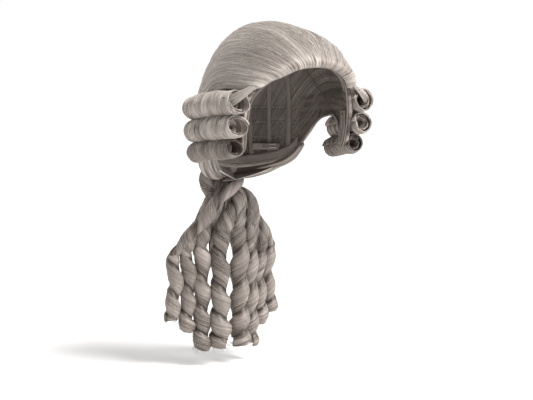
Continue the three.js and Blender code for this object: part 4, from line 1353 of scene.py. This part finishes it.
# hair drawn from behind each ear down and round to the tie
def bundle(b, pts, radius, seed, shade, flat=1.0, ref=(0, 0, 1.0), n=90, sides=72):
    path = spline(pts, n)
    length = np.concatenate([[0], np.cumsum(np.linalg.norm(np.diff(path, axis=0), axis=1))])
    t, a_, b_ = frames(path, ref)
    k = length / length[-1]
    r = np.vectorize(radius)(k)
    r = r * np.clip(np.minimum(k, 1 - k) / 0.03, 0.02, 1) ** 0.5
    ang = np.linspace(0, 2 * np.pi, sides, endpoint=False)
    A_, K_ = np.meshgrid(ang, k, indexing="ij")
    x, y = A_ * 9.0, K_ * length[-1]
    twist = A_ + 0.5 * K_
    h, deep = clumps(x + 8 * K_, y, seed, big=5.6, mid=2.4, fine=0.95, amp=(0.7, 0.36, 0.14))
    h = h * np.clip(r / 6, 0.05, 1)[None]
    rr = r[None] + h
    P = path[None] + a_[None] * (np.cos(twist) * rr * flat)[..., None] + b_[None] * (np.sin(twist) * rr)[..., None]
    tone = tone_with_crease_shade(h, deep, x, y, seed) * shade
    b.grid(P, tone, np.stack([x, y, 0 * x], -1), wrap_u=True)
    bb = b.n - P.shape[0] * P.shape[1]
    m = P.shape[1]
    e = b._add(np.stack([path[0], path[-1]]), 0.1, None)
    i = np.arange(sides)
    i2 = (i + 1) % sides
    b.t.append(np.stack([np.full(sides, e), bb + i2 * m, bb + i * m], -1))
    b.t.append(np.stack([np.full(sides, e + 1), bb + i * m + m - 1, bb + i2 * m + m - 1], -1))


for side, s in SIDES:
    b = Batch()
    # shade 0.72 and 0.60 darken these bundles as the shaded hair behind the ear: painted shade.
    bundle(b, [[s * 64, 44, 10], [s * 61, 56, 0], [s * 51, 73, -13], [s * 36, 90, -24], [s * 21, 102, -30], [s * 8, 108, -31]],
           up_down([[0, 5.0], [0.2, 8.2], [0.55, 8.6], [0.85, 6.4], [1, 4.0]]), 341 + (s > 0), 0.72, 0.8)
    bundle(b, [[s * 61, 40, 8], [s * 56, 49, -4], [s * 49, 58, -12], [s * 40, 70, -17.5], [s * 27, 84, -23], [s * 12, 99, -28], [s * 6, 106, -30]],
           up_down([[0, 3.2], [0.2, 5.2], [0.7, 5.6], [1, 3.4]]), 351 + (s > 0), 0.60, 0.9)
    b.build(f"nape_side_hair_{side}", HAIR)

# hair behind the front locks of the tail
for side, s in SIDES:
    b = Batch()
    # Darker bundles (shade 0.56) fill the gaps between the locks: painted shade.
    bundle(b, [[s * 1, 113, -38], [s * 3, 113, -58], [s * 7, 112.5, -78], [s * 15, 112, -98], [s * 22, 112, -116], [s * 23.5, 112, -130]],
           up_down([[0, 5.0], [0.3, 7.4], [0.7, 6.2], [1, 1.2]]), 361 + (s > 0), 0.56, 1.0)
    bundle(b, [[s * 5, 113, -38], [s * 18, 113.5, -56], [s * 32, 116, -78], [s * 42, 117.5, -103], [s * 43, 118, -126]],
           up_down([[0, 4.6], [0.3, 6.6], [0.7, 5.6], [1, 1.2]]), 371 + (s > 0), 0.56, 1.0)
    if s < 0:
        # A near-black bundle (0.12) under the tie: painted shadow in the gap between the locks.
        bundle(b, [[-6, 113, -30], [-12, 115, -38], [-14, 116.5, -50], [-12, 116, -64]],
               up_down([[0, 5.0], [0.4, 7.6], [0.8, 7.2], [1, 4.0]]), 381, 0.12, 1.0)
    b.build(f"tail_inner_{side}", HAIR, body="tail")

# a few stray hairs that have come loose from the tail
for side, s in SIDES:
    rng = np.random.default_rng(401 + s)
    n, m = 26, 14
    q = np.linspace(0, 1, m)[None]
    z0 = rng.uniform(-110, -52, (n, 1))
    x0 = s * (14 + (-z0 - 52) * 0.62)
    ln = rng.uniform(14, 34, (n, 1))
    P = np.stack([x0 + s * (2.0 + 5.5 * np.sin(q * np.pi * rng.uniform(0.6, 1.1, (n, 1))) * rng.uniform(0.3, 1, (n, 1))),
                  114 + rng.uniform(-6, 8, (n, 1)) + 2.5 * np.sin(q * 3 + rng.uniform(0, 6, (n, 1))), z0 - ln * q], -1)
    f = Batch()
    f.tubes(P, [0, 1.0, 0.1], rng.uniform(0.09, 0.15, (n, 1)) * (1 - 0.6 * q), tone=rng.uniform(0.15, 0.6, n), seed=402 + s)
    f.build(f"stray_hairs_{side}", HAIR, body="tail")


# ================================================================== inside the cap
def cloth_material(name, dark, mid, light, scale, rough=0.8):
    m, nt, b = new_material(name)
    fib = attribute(nt, "fib", "Vector")
    tone = attribute(nt, "tone", "Fac")
    sep = nt.nodes.new("ShaderNodeSeparateXYZ")
    nt.links.new(fib, sep.inputs[0])
    wx = math_node(nt, "SINE", math_node(nt, "MULTIPLY", sep.outputs[0], 2 * math.pi * scale))
    wy = math_node(nt, "SINE", math_node(nt, "MULTIPLY", sep.outputs[1], 2 * math.pi * scale))
    weave = math_node(nt, "MULTIPLY", wx, wy)
    dust = noise_tex(nt, fib, 0.35, (1, 1, 1), 4, 0.6)
    x = math_node(nt, "ADD", tone, math_node(nt, "MULTIPLY", weave, 0.16))
    x = math_node(nt, "ADD", x, math_node(nt, "MULTIPLY", math_node(nt, "SUBTRACT", dust, 0.5), 0.5), clamp=True)
    col = ramp(nt, [(0.0, dark), (0.5, mid), (1.0, light)], x)
    nt.links.new(col, b.inputs["Base Color"])
    nt.links.new(math_node(nt, "ADD", math_node(nt, "MULTIPLY", dust, 0.15), rough - 0.08), b.inputs["Roughness"])
    bump = nt.nodes.new("ShaderNodeBump")
    bump.inputs["Strength"].default_value = 0.5
    bump.inputs["Distance"].default_value = 0.0003
    nt.links.new(weave, bump.inputs["Height"])
    nt.links.new(bump.outputs[0], b.inputs["Normal"])
    return m


NET = cloth_material("cap_net", (0.05, 0.042, 0.036), (0.16, 0.138, 0.12), (0.30, 0.265, 0.235), 1.2)
BAND = cloth_material("cap_band", (0.09, 0.076, 0.066), (0.23, 0.195, 0.168), (0.38, 0.335, 0.295), 0.9)
STEEL, _nt, _b = new_material("cap_steel")
_fib = attribute(_nt, "fib", "Vector")
_n = noise_tex(_nt, _fib, 1.5, (1, 0.2, 1), 4)
_nt.links.new(ramp(_nt, [(0.2, (0.36, 0.36, 0.37)), (0.8, (0.58, 0.58, 0.59))], _n), _b.inputs["Base Color"])
_nt.links.new(math_node(_nt, "ADD", math_node(_nt, "MULTIPLY", _n, 0.2), 0.22), _b.inputs["Roughness"])
_b.inputs["Metallic"].default_value = 1.0


def abs_az(deg):
    d = np.mod(np.asarray(deg, float) + 180, 360) - 180
    return np.abs(d)


def rim_of(deg):
    return rimZ(abs_az(deg))


def head(deg, z, d):
    return on_head(np.asarray(deg, float), latitude(np.asarray(z, float)), d)


def net_cap():
    """Stretch net: two sets of threads that cross on the head form, bound along the rim, with
    sewn tapes that the wefts are stitched to."""
    b = Batch()
    # threads in two slanting families, from the rim to the crown
    n = 150
    m = 64
    v = np.linspace(0, 1, m)
    for fam in (-1, 1):
        az0 = np.arange(n) * 360 / n
        A = az0[:, None] + fam * 62 * v[None] ** 0.9
        lo = latitude(rim_of(A[:, :1]) + 1.0)
        for _ in range(1):
            lo = latitude(rim_of(A[:, :1]) + 1.0)
        th = lo + (1.37 - lo) * v[None]
        # a slanting thread stays above the rim that it runs beside
        th = np.maximum(th, latitude(rim_of(A) + 0.8))
        wob = 0.10 * fam * np.sin(v[None] * 180 + az0[:, None] * 1.3)
        P = on_head(A, th, 0.62 + wob)
        nrm = P - np.array([0, 10, 45.0])
        b.tubes(P, nrm, 0.17, tone=0.52 + 0 * az0, seed=601 + fam)
    # rings of thread close the crown, where the slanting threads meet
    k = np.linspace(0, 360, 121)
    for th in (1.30, 1.37, 1.44, 1.50):
        P = on_head(k, np.full(k.shape, th), 0.6)
        b.tube(P, [0, 0, 1], 0.3, 5, 0.5)
    # crown patch
    rr = np.linspace(1.34, 1.5705, 10)
    kk = np.linspace(0, 360, 73)[:-1]
    K, Rr = np.meshgrid(kk, rr, indexing="ij")
    o = on_head(K, Rr, 1.0 + 0.08 * np.sin(K * D * 24))
    i_ = on_head(K, Rr, 0.35 + 0.08 * np.sin(K * D * 24))
    fib = np.stack([K * D * 40, Rr * 90, 0 * K], -1)
    nu, nv = K.shape
    bo = b.grid(o, 0.45, fib, wrap_u=True)
    bi = b.grid(i_, 0.45, fib, wrap_u=True, flip=True)
    i = np.arange(nu)
    i2 = (i + 1) % nu
    b.q.append(np.stack([bo + i2 * nv, bo + i * nv, bi + i * nv, bi + i2 * nv], -1))
    # narrow tapes up the back and over the crown that hold the wefts
    for az in (130, 147, 164, 180, 196, 213, 230):
        z0 = rim_of(az) + 4
        th = np.linspace(float(latitude(z0)), 1.30, 60)
        w = np.linspace(-1, 1, 5)
        TH, Wd = np.meshgrid(th, w, indexing="ij")
        wid = 2.6 / (80 * np.maximum(np.cos(TH), 0.15)) / D
        fib = np.stack([Wd * 2.6, TH * 90, 0 * TH], -1)
        b.slab(on_head(az + Wd * wid, TH, 0.35 + 0 * TH), on_head(az + Wd * wid, TH, -0.25 + 0.1 * np.cos(TH * 90 * 4)), 0.62, 0.66, fib, fib)
    b.build("net_cap", NET, replaces=["crown_net_cap"])
    # rim binding
    az = np.linspace(0, 360, 721)
    P = on_head(az, latitude(rim_of(az) + 0.2), 0.5)
    b = Batch()
    P = P[:-1]
    t = unit(np.roll(P, -1, 0) - np.roll(P, 1, 0))
    a = unit(P - [0, 0, 1] * P[:, 2:3] - np.array([0, 0, 0]))
    a = unit(a - t * np.sum(a * t, -1, keepdims=True))
    c = np.cross(t, a)
    ang = np.linspace(0, 2 * np.pi, 10, endpoint=False)
    seg = np.concatenate([[0], np.cumsum(np.linalg.norm(np.diff(P, axis=0), axis=1))])
    V = P[:, None] + (a[:, None] * np.cos(ang)[None, :, None] * 0.85 + c[:, None] * np.sin(ang)[None, :, None] * 1.5)
    fib = np.stack(np.broadcast_arrays(seg[:, None], ang[None] * 1.4, np.zeros((1, 1))), -1)
    b.grid(V, 0.42, fib, wrap_u=True, wrap_v=True)
    # whip stitches over it
    st = np.arange(0, len(P), 3)
    q = np.linspace(-0.6, 3.7, 8)
    base, aa, cc, tt = P[st], a[st], c[st], t[st]
    S_ = base[:, None] + (aa[:, None] * np.cos(q)[None, :, None] * 1.05 + cc[:, None] * np.sin(q)[None, :, None] * 1.7) + tt[:, None] * (np.linspace(-0.7, 0.7, 8)[None, :, None])
    b.tubes(S_, np.broadcast_to(tt[:, None], S_.shape), 0.14, tone=np.full(len(st), 0.75), seed=611)
    b.build("rim_binding", BAND)


net_cap()


def strip(b, az, zlo, zhi, din, dout, rows=10, ribs=0.0, tone=0.5, seed=0, rib_step=1.3, along=None):
    """A sewn band on the inside or outside of the cap. dout is the face towards the head."""
    v = np.linspace(0, 1, rows)
    A = np.broadcast_to(az[:, None], (len(az), rows))
    Z = zlo[:, None] + (zhi - zlo)[:, None] * v[None]
    fac = 80.0
    x = A * D * fac
    rib = ribs * np.abs(np.sin(v[None] * (zhi - zlo)[:, None] / rib_step * np.pi))
    ruck = 0.12 * noise2(x / 2.2, v[None] * 3 + 0 * x, 700 + seed)
    fib = np.stack([x, Z, 0 * x], -1)
    inner = head(A, Z, dout - rib * 0.7 - ruck)
    outer = head(A, Z, din + 0 * A)
    # The tone is 0.25 darker in the grooves between ribs: painted shade. The noise is random tone.
    tn = tone + 0.12 * noise2(x / 8, v[None] * 2 + 0 * x, 705 + seed) - 0.25 * (1 - rib / max(ribs, 1e-6)) * (ribs > 0)
    b.slab(outer, inner, tn, tn, fib, fib)


def zigzag(b, az, z_of, d, amp, step, r=0.16, tone=0.85):
    n = len(az)
    k = np.arange(n)
    z = z_of(az) + amp * (1 - 2 * (k % 2))
    P = head(az, z, d)
    P = np.repeat(P, 2, axis=0)[:-1]
    P[1::2] = (P[0:-1:2] + P[2::2]) / 2
    seg = np.stack([P[i:i + 3] for i in range(0, len(P) - 2, 2)])
    b.tubes(seg, np.broadcast_to(unit(seg - [0, 0, 45.0]), seg.shape), r, tone=np.full(len(seg), tone), seed=int(step * 100))


# hem band along the face opening
az = np.linspace(-56.5, 56.5, 230)
lo = rim_of(az) + 0.5
hi = lo + 8.6 * np.clip(np.cos(latitude(lo)) + 0.25, 0.3, 1)
b = Batch()
strip(b, az, lo, hi, -0.95, -1.85, rows=12, ribs=0.28, rib_step=2.1, tone=0.55, seed=1)
aa = np.linspace(-56, 56, 190)
zigzag(b, aa, lambda a: rim_of(a) + 2.0, -2.2, 0.9, 1)
zigzag(b, aa, lambda a: rim_of(a) + 7.2 * np.clip(np.cos(latitude(rim_of(a))) + 0.25, 0.3, 1), -2.2, 0.7, 2)
b.build("hem_band", BAND, replaces=["front_hem_band"])

# nape elastic
az = np.linspace(121, 239, 260)
lo = rim_of(az) + 0.5
hi = rim_of(az) + 12
b = Batch()
strip(b, az, lo, hi, -0.95, -1.9, rows=26, ribs=0.34, rib_step=1.6, tone=0.5, seed=3)
aa = np.linspace(121.5, 238.5, 170)
zigzag(b, aa, lambda a: rim_of(a) + 2.4, -2.35, 0.9, 3)
zigzag(b, aa, lambda a: rim_of(a) + 9.8, -2.35, 0.9, 4)
b.build("nape_band", BAND, replaces=["nape_elastic_band"])

for side, s in SIDES:
    # ear tab lining, with the stay stitched into a channel
    az = np.linspace(64.3, 74.2, 34)
    lo = rimZ(az) + 0.6
    hi = np.full(az.shape, 50.5)
    b = Batch()
    strip(b, s * az if s > 0 else (s * az)[::-1], lo if s > 0 else lo[::-1], hi, -0.95, -1.9, rows=40, ribs=0.0, tone=0.5, seed=5)
    for a_ in (67.6, 71.9):
        zz = np.linspace(11, 48, 24)
        P = head(np.full(zz.shape, s * a_), zz, -2.05)
        sg = np.stack([P[i:i + 2] for i in range(0, len(P) - 1, 2)])
        b.tubes(sg, np.broadcast_to(unit(sg * [1, 1, 0]), sg.shape), 0.17, tone=np.full(len(sg), 0.85), seed=7)
    b.build(f"ear_lining_{side}", BAND, replaces=[f"ear_tab_{side}"])
    # stay: a flat spring strip with rounded ends
    b = Batch()
    zz = np.linspace(12.2, 46.8, 40)
    w = np.linspace(-1, 1, 7)
    Zg, Wg = np.meshgrid(zz, w, indexing="ij")
    e = np.minimum(zz - 12.2, 46.8 - zz)
    half = 1.28 * np.sqrt(np.clip(1 - (1 - np.clip(e / 1.7, 0, 1)) ** 2, 0.02, 1))
    Ag = s * (69.7 + Wg * half[:, None])
    fib = np.stack([Wg * 2, Zg, 0 * Zg], -1)
    b.slab(head(Ag, Zg, -2.45 + 0 * Ag), head(Ag, Zg, -3.0 - 0.25 * (1 - Wg ** 2)), 0.5, 0.5, fib, fib)
    b.build(f"stay_{side}", STEEL, replaces=[f"ear_tab_stay_{side}"])

# wefts: a sewn head of thread with hair folded under it
for i, (a0, z) in enumerate([(122.5, 48), (122.5, 30), (124, 12), (136, -2)]):
    rng = np.random.default_rng(640 + i)
    b = Batch()
    az = np.linspace(a0, 360 - a0, 330)
    rows = 12
    v = np.linspace(0, 1, rows)
    A = np.broadcast_to(az[:, None], (len(az), rows))
    Z = z + 5 * v[None] + 0 * A
    x = A * D * 85
    h, deep = clumps(x, Z * 2, 641 + i, big=3.2, mid=1.6, fine=0.8, amp=(0.18, 0.14, 0.1))
    bead = 0.35 * np.sqrt(np.clip(1 - ((v[None] - 0.85) / 0.16) ** 2, 0, 1))
    fib = np.stack([x, Z, 0 * x], -1)
    tn = tone_with_crease_shade(h * 3, deep, x, Z, 641 + i) * 0.9
    b.slab(head(A, Z, 2.8 + h * 0.3), head(A, Z, 1.55 - h - bead), tn, tn, fib, fib)
    # hair that leaves the weft downwards and to the back
    n, m = 520, 9
    a_ = rng.uniform(a0 + 1, 359 - a0, n)
    ln = rng.uniform(9, 17, n)
    q = np.linspace(0, 1, m)[None]
    Zs = z + 1.5 - ln[:, None] * q
    As = a_[:, None] + (180 - a_[:, None]) * 0.10 * q + rng.uniform(-1.5, 1.5, (n, 1)) * q
    lowest = rim_of(As) + 1.0
    Zs = np.maximum(Zs, lowest)
    P = head(As, Zs, 1.5 + 0.5 * np.sin(np.pi * q) * rng.uniform(-1, 1, (n, 1)))
    b.tubes(P, P - [0, 0, 45.0], rng.uniform(0.14, 0.26, n), tone=rng.uniform(0.2, 0.8, n), seed=642 + i)
    b.build(f"weft_{i + 1}", HAIR_IN, replaces=[f"weft_row_{i + 1}"])

# adjusters
for side, s in SIDES:
    def at(deg, z):
        q = on_head(np.array(float(deg)), latitude(z), 0.0)
        return np.array([s * q[0], q[1], q[2]])
    p = at(151, 4)
    X = unit(at(154, 4) - at(148, 4))
    Z = at(151, 8) - at(151, 0)
    Z = unit(Z - X * np.dot(Z, X))
    Y = np.cross(Z, X)
    if np.dot(Y, -p * [1, 1, 0]) < 0:
        Y = -Y

    def local(q):
        q = np.asarray(q, float)
        return p + q[..., :1] * X + q[..., 1:2] * Y + q[..., 2:3] * Z

    # pocket tape: doubled tape, sewn across into pockets that bulge a little
    b = Batch()
    nx, nz = 90, 12
    xs, zs = np.linspace(-15, 15, nx), np.linspace(-4, 4, nz)
    Xg, Zg = np.meshgrid(xs, zs, indexing="ij")
    pocket = np.abs(np.sin((Xg + 15) / 7.5 * np.pi)) ** 0.5 * (1 - (Zg / 4.4) ** 4)
    fib = np.stack([Xg, Zg, 0 * Xg], -1)
    # The pocket face is darker at the sewn creases and lighter on the bulges: painted shade.
    b.slab(local(np.stack([Xg, 2.85 + 0 * Xg, Zg], -1)), local(np.stack([Xg, 3.15 + 0.45 * pocket, Zg], -1)), 0.5, 0.62 - 0.2 * (1 - pocket), fib, fib)
    for x_ in (-14.6, -7.5, 0, 7.5, 14.6):
        zz = np.linspace(-3.7, 3.7, 9)
        Q = np.stack([np.full(9, x_), np.full(9, 3.35), zz], -1)
        sg = np.stack([Q[i:i + 2] for i in range(0, 8, 2)])
        b.tubes(local(sg), np.broadcast_to(Y, sg.shape), 0.16, tone=np.full(len(sg), 0.9), seed=650)
    b.build(f"pocket_tape_{side}", BAND, replaces=[f"adjuster_pocket_tape_{side}"])
    # elastic strap
    b = Batch()
    xs, zs = np.linspace(-17, 3, 80), np.linspace(-3.25, 3.25, 16)
    Xg, Zg = np.meshgrid(xs, zs, indexing="ij")
    rib = 0.13 * np.abs(np.sin(Zg / 0.85 * np.pi)) + 0.05 * np.cos(Xg * 5)
    fib = np.stack([Xg, Zg, 0 * Xg], -1)
    # The ribbed face is lighter on the ribs and darker in the grooves: painted shade.
    b.slab(local(np.stack([Xg, 4.08 + 0 * Xg, Zg], -1)), local(np.stack([Xg, 4.55 + rib, Zg], -1)), 0.5, 0.45 + 2 * rib, fib, fib)
    zz = np.linspace(-2.9, 2.9, 12)
    Q = np.stack([2.2 - 0.7 * (np.arange(12) % 2), np.full(12, 4.85), zz], -1)
    sg = np.stack([Q[i:i + 2] for i in range(11)])
    b.tubes(local(sg), np.broadcast_to(Y, sg.shape), 0.15, tone=np.full(len(sg), 0.9), seed=651)
    b.build(f"strap_{side}", NET, replaces=[f"adjuster_strap_{side}"])
    # bent wire hook
    b = Batch()
    pts = [[-5, 5.6, 0.2], [-5.45, 5.6, 1.6], [-4.2, 5.6, 2.1], [0, 5.6, 2.05], [3.0, 5.6, 2.05]]
    left = [[-5, 5.6, -0.2], [-5.45, 5.6, -1.6], [-4.2, 5.6, -2.1], [0, 5.6, -2.05], [3.0, 5.6, -2.05]]
    loop = [[3.6, 5.75, 1.5], [3.9, 5.8, 0.9]]
    path = left[::-1] + pts
    base = spline(local(np.array([[a_ - 8 + 0.0, b_, c_] for a_, b_, c_ in path])), 90)
    b.tube(base, Y, 0.42, 10, 0.5)
    b.build(f"hook_{side}", STEEL, body=f"adjuster_hook_{side}", replaces=[f"adjuster_hook_{side}"])
